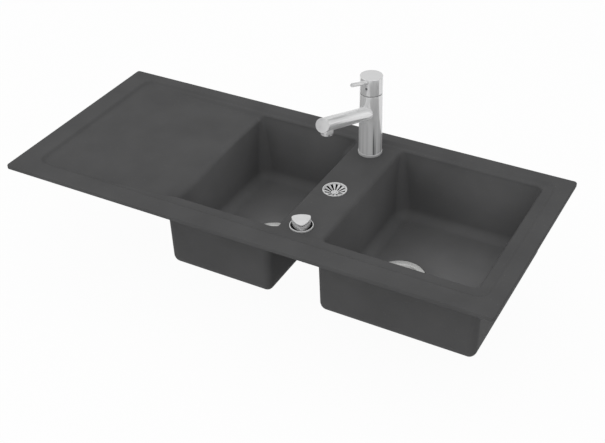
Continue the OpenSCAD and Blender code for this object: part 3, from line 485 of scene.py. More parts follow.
left_bowl = (left_end - left_wide, left_end, *bowl_y)
waste_hole = 45 * mm
waste_seat = 57.5 * mm
seat_depth = 2.6 * mm
print("left bowl", [round(value / mm) for value in left_bowl])
print("right bowl", [round(value / mm) for value in right_bowl])


# %% [markdown]
# ## The casting: how the top skin lies
#
# Seen from above, the height of the top skin is one smooth function of place. It gives the field, takes
# the drainer's fall away from it, and lowers the bridge between the bowls. The drainer's long sides
# close in a little towards the bowl, because its floor gets deeper there.

# %% Height of the top skin
def drainer_share(x, y):
    """1 on the drainer's floor, 0 on the ledges round it."""
    along = (x - field[0]) / (left_bowl[0] - field[0])
    side, back_sides = 12 * mm, (6 * mm, 16 * mm)
    front = mix(field[2] - side / 2, bowl_y[0] - side, along)
    across = smooth((y - front) / side) * smooth((field[3] - y) / mix(*back_sides, along))
    return across * (1 - smooth((x - left_bowl[0] + lip) / corner_low))


def deck_share(x, y):
    """1 on the bridge between the bowls, 0 on the field round it."""
    side = 14 * mm
    ends = smooth((y - bowl_y[0] + side / 2) / side) * smooth((bowl_y[1] + side / 2 - y) / side)
    from_left = smooth((x - left_bowl[1] + corner_low) / side)
    return ends * from_left * smooth((right_bowl[0] + corner_low - x) / side)


def top_height(x, y):
    along = min(1.0, max(0.0, (x - field[0]) / (left_bowl[0] - field[0])))
    return field_z - drainer_fall * along * drainer_share(x, y) - deck_fall * deck_share(x, y)


# %% [markdown]
# ## The casting: closed outlines
#
# Every level of a bowl, and every level of the rim, is a box with round corners. A *station* says where
# a point sits on such a box: which straight side or corner it is on, and how far along. The same station
# on two boxes gives two points that belong together, so rows of them make an even skin.

# %% Stations on a box with round corners
side_steps, corner_steps = 18, 32


def box_corners(box, radius):
    x0, x1, y0, y1 = box
    inner = (x0 + radius, x1 - radius, y0 + radius, y1 - radius)
    return [Vector((inner[a], inner[b])) for a, b in ((1, 2), (1, 3), (0, 3), (0, 2))]


def outward(turn, amount=0.0):
    angle = quarter_turn * (turn + amount)
    return Vector((math.cos(angle), math.sin(angle)))


def outline_point(box, radius, station):
    turn, is_corner, amount = station
    corners = box_corners(box, radius)
    if is_corner:
        return corners[(turn + 1) % 4] + outward(turn, amount) * radius
    return corners[turn].lerp(corners[(turn + 1) % 4], amount) + outward(turn) * radius


def grown(box, out):
    return (box[0] - out, box[1] + out, box[2] - out, box[3] + out)


def on_box(box, radius, out, station, z):
    """A station's point at height z on a box grown by out, whose corners never turn inside out."""
    least = 0.6 * mm
    return Vector((*outline_point(grown(box, out), max(radius + out, least), station), z))


def stations():
    for turn in range(4):
        for step in range(side_steps):
            yield (turn, False, step / side_steps)
        for step in range(corner_steps):
            yield (turn, True, step / corner_steps)


ring = list(stations())
print(len(ring), "stations round a bowl")


# %% [markdown]
# ## The casting: a bowl from lip to underside
#
# One draped grid makes a whole bowl. Its rows run over the rounded lip, down the drafted wall, round the
# cove, across the floor to the waste hole, through the hole, and back out and up the outside. The left
# bowl has a sloped shoulder under the bridge, and a wide soft lip where the drainer rolls into it.

# %% Walls at each level
def rounded_ramp(share, soft=0.22):
    """A straight ramp from 0 to 1 with rounded ends."""
    if share < -soft:
        return 0.0
    if share < soft:
        return (share + soft) ** 2 / (4 * soft)
    if share < 1 - soft:
        return share
    if share < 1 + soft:
        return 1 - (1 + soft - share) ** 2 / (4 * soft)
    return 1.0


def wall_box(bowl, z, out=0.0):
    """The bowl's wall at one height, and its corner radius. out is the wall's thickness for the outside."""
    depth = max(0.0, field_z - lip - z)
    inset = draft * depth
    x0, x1, y0, y1 = grown(bowl, out - inset)
    if bowl is left_bowl:
        drop = shoulder_top - z - (wall / 2 if out else 0)
        x1 -= shoulder_w * rounded_ramp(drop / shoulder_h)
    corner = mix(corner_top, corner_low, min(1.0, depth / (field_z - lip - floor_z - cove)))
    return (x0, x1, y0, y1), (outer_corner - inset if out else corner)


def lip_at(bowl, station):
    """Radius of the lip at a station: small at the back, and growing to the front along the drainer."""
    growth_start, growth = 0.25, 0.6
    turn, is_corner, amount = station
    beside = (start_lip, drainer_lip) if bowl is left_bowl else (lip, lip)
    starts = (lip, back_lip, beside[0], lip)
    ends = (lip, back_lip, beside[1], lip)
    if is_corner:
        return mix(ends[turn], starts[(turn + 1) % 4], smooth(amount))
    return mix(starts[turn], ends[turn], smooth((amount - growth_start) / growth))


def mouth_point(bowl, station):
    """Where the lip meets the top skin."""
    out = lip_at(bowl, station)
    flat = outline_point(grown(bowl, out), corner_top + out, station)
    return Vector((flat.x, flat.y, top_height(flat.x, flat.y)))


# %% Rows of one bowl
def bowl_rows(bowl, waste):
    """The bowl's rows as functions from a station to a point, from the lip to the tray's underside."""
    lip_steps, wall_steps, cove_steps, floor_steps, outer_steps, fillet_steps = 8, 26, 8, 5, 14, 5
    cove_z, outer_cove_z = floor_z + cove, under_z + outer_cove

    def lip_row(turn):
        def point(station):
            out = lip_at(bowl, station)
            z = mouth_point(bowl, station).z - out * (1 - math.cos(turn))
            return on_box(*wall_box(bowl, z), out * (1 - math.sin(turn)), station, z)
        return point

    def wall_row(share):
        def point(station):
            z = mix(mouth_point(bowl, station).z - lip_at(bowl, station), cove_z, share)
            return on_box(*wall_box(bowl, z), 0, station, z)
        return point

    def cove_row(turn):
        inset, z = cove * (1 - math.cos(turn)), cove_z - cove * math.sin(turn)
        return lambda station: on_box(*wall_box(bowl, cove_z), -inset, station, z)

    def outer_row(out, z):
        return lambda station: on_box(*wall_box(bowl, max(z, outer_cove_z), wall), out, station, z)

    def flat_row(share, z, side, hole):
        """Part of the way from a round hole to the innermost row of the cove beside it."""
        def point(station):
            far = side(station).xy
            return Vector((*(waste + (far - waste).normalized() * hole).lerp(far, share), z))
        return point

    inner, outer = cove_row(quarter_turn), outer_row(-outer_cove, under_z)
    edge = 0.8 * mm
    soft = edge * 0.3
    seat = [(waste_seat + edge, floor_z), (waste_seat + soft, floor_z - soft), (waste_seat, floor_z - edge)]
    seat += [(waste_seat, floor_z - seat_depth), (waste_hole, floor_z - seat_depth), (waste_hole, under_z)]
    outer_top = tray_z - tray_fillet
    rows = [lambda station: mouth_point(bowl, station)]
    rows += [lip_row(turn) for turn in quarter(lip_steps)[1:-1]]
    rows += [wall_row(step / wall_steps) for step in range(wall_steps)]
    rows += [cove_row(turn) for turn in quarter(cove_steps)[:-1]]
    for step in range(floor_steps):
        rows.append(flat_row(1 - step / floor_steps, floor_z, inner, waste_seat + edge))
    rows += [flat_row(0, z, inner, hole) for hole, z in seat]
    rows += [flat_row(step / floor_steps, under_z, outer, waste_hole) for step in range(1, floor_steps)]
    for turn in quarter(cove_steps)[:-1]:
        z = under_z + outer_cove * (1 - math.cos(turn))
        rows.append(outer_row(-outer_cove * (1 - math.sin(turn)), z))
    for step in range(outer_steps):
        rows.append(outer_row(0, mix(outer_cove_z, outer_top, step / outer_steps)))
    for turn in quarter(fillet_steps):
        rows.append(outer_row(tray_fillet * (1 - math.cos(turn)), outer_top + tray_fillet * math.sin(turn)))
    return rows


# %% [markdown]
# ## The casting: plates between the bowls and the rim
#
# The flat areas are cut into three cells: the drainer, the left bowl's surround and the right bowl's
# surround. In a bowl's surround the rows spread from the lip to the cell's four sides, so the grid turns
# the corner with the bowl. The top and the underside are made with the same function.

# %% A cell round a bowl
def cell_edge(inner, station, cell):
    """The point of a cell's side that belongs to a station. inner is the bowl's box and corner radius."""
    turn, is_corner, amount = station
    corners = box_corners(*inner)
    limits = (cell[1], cell[3], -cell[0], -cell[2])

    def to_side(base, turn):
        toward = outward(turn % 4)
        return toward * (limits[turn % 4] - base.dot(toward))

    if not is_corner:
        base = corners[turn].lerp(corners[(turn + 1) % 4], amount)
        return base + to_side(base, turn)
    base = corners[(turn + 1) % 4]
    first, second = to_side(base, turn), to_side(base, turn + 1)
    if amount < 0.5:
        return base + first + second * amount * 2
    return base + second + first * (1 - amount) * 2


def round_corner(point, box, radius):
    """Pulls a point near a corner of a square-cornered box onto a round-cornered one."""
    x, y = point
    for sx, edge_x in ((-1, box[0]), (1, box[1])):
        for sy, edge_y in ((-1, box[2]), (1, box[3])):
            hub = Vector((edge_x - sx * radius, edge_y - sy * radius))
            u, v = sx * (x - hub.x) / radius, sy * (y - hub.y) / radius
            if u > 0 and v > 0:
                round_u, round_v = u * math.sqrt(1 - v * v / 2), v * math.sqrt(1 - u * u / 2)
                return hub + radius * Vector((sx * round_u, sy * round_v))
    return Vector((x, y))


# %% Cells of a whole plate
divider_x = (left_bowl[1] + right_bowl[0]) / 2
beside_lip = 6 * mm
join_x = left_bowl[0] - drainer_lip - beside_lip
drainer_steps, cell_steps = 44, 10


def plate(bm, box, radius, inner_of, height):
    """Fills a plate round the two bowls and returns its outer points, from the front and round."""
    rings = {}
    for bowl, cell_x in ((left_bowl, (join_x, divider_x)), (right_bowl, (divider_x, box[1]))):
        cell = (*cell_x, *box[2:])
        inner_box, mouth = inner_of(bowl)
        ends = [round_corner(cell_edge(inner_box, station, cell), box, radius) for station in ring]
        starts = [mouth(station) for station in ring]

        def place(i, k):
            flat = starts[i % len(ring)].xy.lerp(ends[i % len(ring)], k / cell_steps)
            return Vector((*flat, height(flat.x, flat.y)))

        sheet_of(bm, len(ring), cell_steps, place)
        rings[bowl] = ends
    side, half = side_steps + corner_steps, corner_steps // 2

    def run_of(bowl, first, last):
        """A bowl's outer points from the middle of one corner to the middle of a later one."""
        return [rings[bowl][i % len(ring)] for i in range(side * first - half, side * last - half + 1)]

    left_side = run_of(left_bowl, 2, 3)
    rows = len(left_side) - 1
    columns = [mix(join_x, box[0], step / drainer_steps) for step in range(drainer_steps + 1)]

    def drainer_point(i, k):
        flat = round_corner((columns[i], left_side[k].y), box, radius)
        return Vector((*flat, height(flat.x, flat.y)))

    sheet_of(bm, drainer_steps, rows, drainer_point)
    outer_points = run_of(right_bowl, 3, 6) + run_of(left_bowl, 1, 2)
    outer_points += [drainer_point(i, 0).xy for i in range(drainer_steps + 1)]
    outer_points += [drainer_point(drainer_steps, k).xy for k in range(rows + 1)]
    outer_points += [drainer_point(i, rows).xy for i in range(drainer_steps, -1, -1)]
    edge = []
    for point in outer_points + run_of(left_bowl, 3, 4)[:-1]:
        if not edge or (point - edge[-1]).length > 1e-7:
            edge.append(point)
    return edge


# %% [markdown]
# ## The casting: the rim
#
# From the field the skin climbs a soft step to the flat rim, rounds over its outer edge, runs back under
# it and steps down to the tray's underside. This is one more draped grid. Its columns are the plate's
# outer points, and each row is a box with round corners.

# %% Stations of the plate's outer points
def station_of(point, box, radius):
    corners = box_corners(box, radius)
    for turn in range(4):
        hub = corners[(turn + 1) % 4]
        arm = point - hub
        u, v = arm.dot(outward(turn)), arm.dot(outward(turn + 1))
        if u >= 0 and v >= 0:
            return (turn, True, math.atan2(v, u) / quarter_turn)
    distances = [(abs((point - corners[turn]).dot(outward(turn)) - radius), turn) for turn in range(4)]
    turn = min(distances)[1]
    start, end = corners[turn], corners[(turn + 1) % 4]
    return (turn, False, (point - start).dot(end - start) / (end - start).length_squared)


def rim_sheet(bm, top_edge, top_box, top_radius, under_edge, under_box, under_radius):
    top = [station_of(point, top_box, top_radius) for point in top_edge]
    under = [station_of(point, under_box, under_radius) for point in under_edge]
    rows = []

    def level(marks, box, radius, out, z):
        rows.append([on_box(box, radius, out, mark, z) for mark in marks])

    step_rows, edge_rows, under_edge_rows, tray_edge_rows, tray_rows = 10, 6, 3, 5, 6
    rows.append([Vector((*point, top_height(*point))) for point in top_edge])
    for step in range(1, step_rows + 1):
        share = step / step_rows
        level(top, top_box, top_radius, step_w * share, mix(field_z, rim_z, smooth(share)))
    start = rows[-1]
    inset, inset_corner = grown(sink_outline, -rim_edge), rim_corner - rim_edge
    end = [outline_point(inset, inset_corner, mark) for mark in top]
    for share in (0.06, 0.35, 0.65, 0.94):
        rows.append([Vector((*a.xy.lerp(b, share), rim_z)) for a, b in zip(start, end)])
    for turn in quarter(edge_rows):
        level(top, inset, inset_corner, rim_edge * math.sin(turn), rim_z - rim_edge * (1 - math.cos(turn)))
    for turn in quarter(under_edge_rows):
        out = -rim_under_edge * (1 - math.cos(turn))
        level(top, sink_outline, rim_corner, out, rim_under_edge * (1 - math.sin(turn)))
    tray = grown(field, tray_out)
    for turn in quarter(tray_edge_rows):
        z = -tray_edge * (1 - math.cos(turn))
        level(under, tray, field_corner, tray_edge * (1 - math.sin(turn)), z)
    for turn in quarter(tray_rows):
        out = -tray_edge * (1 - math.cos(turn))
        level(under, tray, field_corner, out, tray_z + tray_edge * (1 - math.sin(turn)))
    rows[-1] = [Vector((*point, tray_z)) for point in under_edge]
    count = len(top)
    sheet_of(bm, count, len(rows) - 1, lambda i, k: rows[k][i % count])


# %% Pour the casting
def middle_of(node):
    """The upright axis of a round node, seen from above."""
    low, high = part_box(node)
    return ((low + high) / 2).xy


deck_holes = {"tap_sleeve": 17.5, "overflow_grille": 23, "control_escutcheon": 17}
hole_low, hole_high = -20, 8


def pour_sink():
    bm = bmesh.new()
    for side, bowl in (("left", left_bowl), ("right", right_bowl)):
        rows = bowl_rows(bowl, middle_of(side + "_waste_flange"))
        points = [[row(station) for station in ring] for row in rows]
        sheet_of(bm, len(ring), len(rows) - 1, lambda i, k: points[k][i % len(ring)])
    half_step = step_w / 2
    top_box = grown(field, -half_step)
    top_box = (*top_box[:3], field[3] - 1 * mm)
    top_radius = field_corner - half_step
    top_edge = plate(
        bm, top_box, top_radius,
        lambda bowl: ((bowl, corner_top), lambda station: mouth_point(bowl, station)), top_height,
    )
    under_box, under_radius = grown(field, tray_out - tray_edge), field_corner - tray_edge

    def under_mouth(bowl):
        box, radius = wall_box(bowl, tray_z, wall)
        return (box, radius), lambda station: on_box(box, radius, tray_fillet, station, tray_z)

    under_edge = plate(bm, under_box, under_radius, under_mouth, lambda x, y: tray_z)
    rim_sheet(bm, top_edge, top_box, top_radius, under_edge, under_box, under_radius)
    clean(bm, weld)
    cutters = [drill(radius, hole_low, hole_high, middle_of(node)) for node, radius in deck_holes.items()]
    return carved(bm, joined(*cutters))


weld = 0.01 * mm
finish_piece("sink_casting", pour_sink(), "sink_body", "sink", "sink_stone", sharp=50, merge=weld)

# %% [markdown]
# ## Tap: the levels
#
# The tap stands on the bridge, on its own upright axis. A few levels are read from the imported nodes, so
# that every turned part below sits exactly where its joint needs it.

# %% Levels of the tap
def level_of(node, top=False):
    """The lowest or the highest level of a node, in millimetres."""
    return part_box(node)[1 if top else 0].z / mm


tap = middle_of("tap_column")
deck = level_of("tap_foot_ring")
sleeve_low, sleeve_high = level_of("tap_sleeve"), level_of("tap_sleeve", top=True)
seam_gap, pivot_drop = 0.2, 20
seam, cap_top = level_of("upper_glide_ring", top=True) + seam_gap, level_of("handle_cap", top=True)
tap_r, foot_r, bore_r = 25.5, 27.7, 21.4
pivot = seam - pivot_drop
dome_r = math.hypot(tap_r, seam - pivot)
print("tap at", [round(value / mm, 1) for value in tap], "seam at", round(seam, 1))

# %% [markdown]
# ## Tap: foot, sleeve and spout
#
# The foot ring and the sleeve are turned brass with chrome on top, so a lathe makes both. The sleeve
# narrows a little as it rises. The spout is a tube on a slope. It is turned on its own line, laid in
# place, and its root is cut away where the sleeve's bore begins, so the seam between them is crisp.

# %% Foot ring and sleeve
foot_in, foot_top, foot_step = 26, deck + 6.2, 0.8
foot = lathe([
    (foot_in, deck, 0.1), (foot_r, deck, 0.3), (foot_r, foot_top, 0.9), (foot_in, foot_top, 0.3),
], tap, 128)
finish_piece("foot_ring", foot, "tap_foot_ring", "sink", "chrome")

spout_r, spout_wall, spout_up, bore_reach = 15.4, 2.0, 103.5, 50
spout_root, spout_end = 19.0, 246.0
spout_place = Vector((*tap, (deck + spout_up) * mm))
sleeve = lathe([
    (bore_r, sleeve_low, 0.3), (foot_r - foot_step, sleeve_low, 0.5),
    (tap_r, sleeve_high, 0.5), (bore_r, sleeve_high, 0.3),
], tap, 160)
bore = tilted(drill(spout_r - spout_wall, 0, bore_reach), spout_place, spout_rise)
finish_piece("sleeve", carved(sleeve, bore), "tap_sleeve", "spout", "chrome", upright_chrome_painted_streaks)

# %% Spout, its end and its outlet
def spout_point(along, off=0.0):
    """The point of the spout's line at a length along it, moved off millimetres straight down."""
    rise = math.radians(spout_rise)
    return spout_place + Vector((0, -math.cos(rise) * along * mm, (math.sin(rise) * along - off) * mm))


end_t, boss_r, outlet_r = 2.5, 13.5, 12.0
outlet_back, boss_sunk, overrun = 22, 4, 5
end_low, spout_in = spout_end - end_t, spout_r - spout_wall
tube = lathe([
    (spout_in, spout_root, 0), (spout_r, spout_root, 0), (spout_r, end_low, 0.15), (spout_in, end_low, 0),
], steps=128)
tube = tilted(tube, spout_place, spout_rise)
outlet = spout_point(spout_end - outlet_back)
boss_low, boss_high = level_of("aerator_ring"), outlet.z / mm - boss_sunk
boss = lathe([
    (outlet_r, boss_low, 0.2), (boss_r, boss_low, 0.6), (boss_r, boss_high, 0), (outlet_r, boss_high, 0),
], outlet.xy)
inside = drill(bore_r + 0.1, sleeve_low, sleeve_high, tap, 128)
tube = carved(tube, joined(inside, drill(outlet_r, boss_low - overrun, boss_high, outlet.xy)))
finish_piece("spout", joined(tube, boss), "spout_tube", "spout", "chrome", spout_chrome_painted_streaks)

end = lathe([
    (0, end_low, 0), (spout_r, end_low, 0.15), (spout_r, spout_end, 0.9), (0, spout_end, 0),
], steps=128)
finish_piece("spout_end", tilted(end, spout_place, spout_rise), "spout_end_cap", "spout", "chrome")

nozzle_in, nozzle_top = 10.4, boss_low + 9
nozzle = lathe([
    (nozzle_in, boss_low, 0.5), (outlet_r, boss_low, 0.5),
    (outlet_r, nozzle_top, 0.2), (nozzle_in, nozzle_top, 0.2),
], outlet.xy)
finish_piece("nozzle_ring", nozzle, "aerator_ring", "spout", "chrome")

# %% [markdown]
# ## Tap: the handle
#
# The handle is a cap that rocks on a dome. The cap is hollow and follows the dome under its skirt. The
# lever is a plain rod with a rounded end, and the small dot in front covers the screw that holds it.

# %% Cap, lever and dot
def on_dome(r):
    return pivot + math.sqrt(dome_r ** 2 - r ** 2)


skirt_r, hub_r, cap_in = 22.0, 9.0, cap_top - 5
dot_z, dot_r, dot_play = cap_top - 22, 3.0, 0.1
dot_low, dot_high = tap_r - 3.5, tap_r - 0.5
cap = lathe([
    (0, cap_top, 0), (tap_r, cap_top, 1.2), (tap_r, seam, 0.4), (skirt_r, on_dome(skirt_r), 0.3),
    (skirt_r, cap_in, 1), (hub_r, cap_in, 1), (hub_r, on_dome(hub_r), 0.3),
    (hub_r / 2, on_dome(hub_r / 2), 0), (0, on_dome(0), 0),
], tap, 160, 8)
dot_place = Vector((*tap, dot_z * mm))
dot_hole = drill(dot_r, dot_low + 0.3, tap_r + overrun, steps=48)
cap = carved(cap, tilted(dot_hole, dot_place, 0))
finish_piece("handle_cap_shell", cap, "handle_cap", "handle", "chrome", upright_chrome_painted_streaks)

dot_side = dot_r - dot_play
dot = lathe([
    (0, dot_low, 0), (dot_side, dot_low, 0.2), (dot_side, dot_high, 0.5), (0, dot_high + 0.1, 0),
], steps=48)
finish_piece("cover_dot", tilted(dot, dot_place, 0), "index_plug", "handle", "grey_plastic")

lever_down, lever_rise, lever_r, lever_root, lever_end = 16, 21.5, 4.5, 5, 103.5
lever = lathe([
    (0, lever_root, 0), (lever_r, lever_root, 0.5), (lever_r, lever_end, 1.5), (0, lever_end, 0),
], steps=64, arc_steps=8)
lever_place = Vector((*tap, (cap_top - lever_down) * mm))
finish_piece("lever", tilted(lever, lever_place, lever_rise), "handle_lever", "handle", "chrome")

# %% [markdown]
# ## Overflow
#
# The overflow cover is a pressed and chromed dish. Its ring lies on the bridge, its middle is sunk, and
# twelve slots let the water through between the ring and the screw. The dish is turned first, and then
# all the slots are cut with one cutter. What lies under its visible skin is given painted shade, a dark,
# dull finish, so the slots look deep.

# %% Painted shade under the chrome skin
nowhere = -1000


def paint_shade_inside(piece, centre, skin, lowest=nowhere):
    """Gives painted shade, a dark and dull finish, to what lies under the skin, whose level in mm depends
    on the radius in mm.
    """
    piece.data.materials.append(painted_shade_chrome)
    count = 0
    for polygon in piece.data.polygons:
        r = (polygon.center.xy - centre).length / mm
        if lowest < polygon.center.z / mm < skin(r):
            polygon.material_index = 1
            count += 1
    print(piece.name, "has", count, "faces of painted shade")


# %% Slotted dish and its screw
overflow = middle_of("overflow_grille")
hub, hub_flat, dish_out = deck - 6.5, 7, 24
dish_edge, ring_top, ring_r, skirt_out, skirt_in = deck + 0.2, deck + 2.4, 27, 22.9, 21
hub_under, skirt_low = hub - 1.5, hub - 9.5
dish = lathe([
    (0, hub, 0), (hub_flat, hub, 1.5), (dish_out, dish_edge, 0.6), (dish_out + 0.8, ring_top, 0.6),
    (ring_r, ring_top, 0.9), (ring_r, deck, 0.2), (skirt_out, deck, 0.1), (skirt_out, skirt_low, 0.3),
    (skirt_in, skirt_low, 0.3), (skirt_in, deck - 3, 0.5), (hub_flat, hub_under, 0.5), (0, hub_under, 0),
], overflow, 144)
slots, slot_start, slot_end, slot_in, slot_out = 12, 8, skirt_out - 0.3, 2.4, 5.4
rays = []
for index in range(slots):
    slot = block(slot_start, slot_end, -slot_in / 2, slot_in / 2, hub - overrun, deck + 6)
    for vert in slot.verts:
        if vert.co.x > slot_end / 2 * mm:
            vert.co.y *= slot_out / slot_in
    slot.transform(Matrix.Rotation(math.tau * (index + 0.5) / slots, 4, "Z"))
    slot.transform(Matrix.Translation((*overflow, 0)))
    rays.append(slot)
dish = carved(dish, joined(*rays))
dish_piece = finish_piece("overflow_dish", dish, "overflow_grille", "sink", "chrome")
skin_t = 0.4
dish_rise, dish_reach = (dish_edge - hub) / (dish_out - hub_flat), dish_out - skin_t


def dish_skin(r):
    return hub - skin_t + max(0, r - hub_flat) * dish_rise if r < dish_reach else nowhere


# Painted shade on the slot walls and under the dish's skin, so the slots look deep.
paint_shade_inside(dish_piece, overflow, dish_skin)

head_r, head_in, shank_r, screw_low = 5, 3.4, 2.5, level_of("overflow_screw")
screw = lathe([
    (0, hub + 2.2, 0), (head_in, hub + 1.9, 0.8), (head_r, hub + 0.9, 0.4), (head_r, hub, 0.1),
    (shank_r, hub, 0), (shank_r, screw_low, 0.3), (0, screw_low, 0),
], overflow, 64)
slot_wide, slot_turn = 1.2, math.radians(25)
slot = block(-head_r - 1, head_r + 1, -slot_wide / 2, slot_wide / 2, hub + 1.2, hub + 3)
slot.transform(Matrix.Translation((*overflow, 0)) @ Matrix.Rotation(slot_turn, 4, "Z"))
finish_piece("overflow_bolt", carved(screw, slot), "overflow_screw", "sink", "chrome")

# %% [markdown]
# ## Pop-up control
#
# The knob is a three-sided button with bowed sides. It stands in a round base whose floor is sunk, and a
# shadow groove parts its cover from its body. The base's sunk floor and the groove's faces get painted
# shade. The base is turned. The knob is a draped grid: each row is the same outline, drawn in by a little
# where an edge is rounded or the groove runs.

# %% Base ring with its threaded tube
def threaded(r, depth, low, high, pitch):
    """The outline of a thread on the outside of a tube, from the bottom up."""
    count = int((high - low) / pitch)
    points = []
    for turn in range(count):
        z = low + turn * pitch
        points += [(r - depth, z, 0.1), (r, z + pitch * 0.4, 0.12), (r, z + pitch * 0.55, 0.12)]
    return points + [(r - depth, low + count * pitch, 0.1)]


control = middle_of("control_escutcheon")
tube_low, tube_in, tube_r, pitch, thread_deep = level_of("control_escutcheon"), 13, 16.5, 1.5, 0.6
base_in, base_r, base_top, base_floor = 23.3, 25.4, deck + 4, deck + 1
base = lathe(
    [(tube_in, tube_low, 0.4), (tube_r - thread_deep, tube_low, 0.3)]
    + threaded(tube_r, thread_deep, tube_low + pitch, -pitch, pitch)
    + [(tube_r, -0.5, 0.1), (tube_r, deck, 0.1), (base_r, deck, 0.3), (base_r, base_top, 0.9),
       (base_in, base_top, 0.6), (base_in, base_floor, 0.4), (tube_in, base_floor, 0.3)],
    control, 96, 2,
)
ring_piece = finish_piece("control_base", base, "control_escutcheon", "sink", "chrome")
# Painted shade on the base's sunk floor and the inside of its ring.
painted_shade_low, painted_shade_high, painted_shade_r = deck + 0.5, base_top - 0.6, base_in + 0.1
paint_shade_inside(ring_piece, control, lambda r: painted_shade_high if r < painted_shade_r else nowhere, painted_shade_low)

# %% Three-sided knob
knob_r, side_r, side_in = 23.0, 42.0, 5.7


def knob_reach(angle, inset):
    """How far the knob's outline is from its axis. The corner circle and three side circles bound it."""
    toward = Vector((math.cos(angle), math.sin(angle)))
    reaches = [knob_r - inset]
    for side in range(3):
        hub = outward(4 * side / 3) * (knob_r - side_in - side_r)
        ahead = toward.dot(hub)
        reaches.append(ahead + math.sqrt(ahead ** 2 - hub.length_squared + (side_r - inset) ** 2))
    sharpness = 22
    return sum(reach ** -sharpness for reach in reaches) ** (-1 / sharpness)


def knob_shell(rows):
    """A closed shell from (inset, height) rows. The first and the last row shrink to the axis."""
    bm = bmesh.new()
    columns = 144

    def place(i, k):
        angle = math.tau * (i % columns) / columns
        inset, z = rows[k]
        reach = 0 if inset is None else knob_reach(angle, inset) * mm
        return Vector((control.x + math.cos(angle) * reach, control.y + math.sin(angle) * reach, z * mm))

    sheet_of(bm, columns, len(rows) - 1, place)
    return bm


def rounded_rim(z, size, steps=5):
    """Rows that round a knob's upper edge with a radius of size."""
    return [(size * (1 - math.cos(turn)), z - size * (1 - math.sin(turn))) for turn in quarter(steps)]


knob_low, knob_high = level_of("control_knob"), level_of("control_knob_cover", top=True)
cover_h, groove_h, groove_in = 3.2, 2.0, 1.8
edge_drop, crown_r, crown_drop = 0.15, 8, 0.03
cover_low = knob_high - cover_h
groove_low = cover_low - groove_h
knob_rows = [(None, knob_low), (0.6, knob_low), (0.2, knob_low + 0.2), (0, knob_low + 0.6)]
knob_rows += rounded_rim(groove_low, 0.3, 3)
knob_rows += [(groove_in, groove_low), (groove_in, cover_low), (None, cover_low)]
knob_piece = finish_piece("knob_body", knob_shell(knob_rows), "control_knob", "control", "chrome")
just = 0.05
# Painted shade on the faces of the groove between the cover and the body.
paint_shade_inside(knob_piece, control, lambda r: cover_low - just, groove_low + just)
cover_rows = [(None, cover_low), (0.3, cover_low), (0, cover_low + 0.3)]
cover_rows += rounded_rim(knob_high - edge_drop, 0.8)
cover_rows += [(crown_r, knob_high - crown_drop), (None, knob_high)]
finish_piece("knob_cover", knob_shell(cover_rows), "control_knob_cover", "control", "chrome")

# %% [markdown]
# ## Strainer wastes
#
# Each bowl drains through a pressed steel flange with a cup under it. A loose basket stands in the cup.
# The cup is turned and its floor is pierced. The basket has a ring of holes round its wall and more in
# its floor, and a turned grip to lift it by. Both bowls have the same parts, so two functions make all.

# %% Flange with its cup
def make_flange(side):
    node = side + "_waste_flange"
    centre, low, top = middle_of(node), level_of(node), level_of(node, top=True)
    screw_r, cup_r, cup_in, flange_r = 5.05, 42.5, 41, 56.5
    floor_top, flange_low = low + 1.5, top - 1.4
    cup = lathe([
        (screw_r, low, 0), (cup_r, low, 2), (cup_r, flange_low, 0.8), (flange_r, flange_low, 0.2),
        (flange_r, top, 0.9), (cup_r + 1, top - 0.15, 2), (cup_in, top - 2.5, 1.2),
        (cup_in, floor_top, 1.5), (screw_r, floor_top, 0),
    ], centre, 144)
    hole_count, hole_ring, hole_r = 6, 18.5, 6.5
    holes = []
    for index in range(hole_count):
        turn = Matrix.Rotation(math.tau * index / hole_count, 4, "Z")
        place = centre + (turn @ Vector((hole_ring * mm, 0, 0))).xy
        holes.append(drill(hole_r, low - 2, low + 4, place, 32))
    finish_piece(side + "_flange_cup", carved(cup, joined(*holes)), node, "sink", "steel")


sides = ("left", "right")
for side in sides:
    make_flange(side)

# %% Baskets and their grips
def basket_holes(centre, floor, wall_z):
    """Three rings of holes in a basket's floor and one ring in its wall."""
    hole_r, ring_count, wall_count, wall_low, wall_high = 1.5, 12, 24, 30, 45
    holes = []
    for ring_r in (14, 20, 26):
        for index in range(ring_count):
            angle = math.tau * (index + ring_r / ring_count) / ring_count
            place = centre + Vector((math.cos(angle), math.sin(angle))) * ring_r * mm
            holes.append(drill(hole_r, floor - 1, floor + 3, place, 12))
    for index in range(wall_count):
        hole = drill(hole_r, wall_low, wall_high, steps=12)
        hole.transform(Matrix.Rotation(quarter_turn, 4, "Y"))
        hole.transform(Matrix.Rotation(math.tau * index / wall_count, 4, "Z"))
        hole.transform(Matrix.Translation((*centre, wall_z * mm)))
        holes.append(hole)
    return joined(*holes)


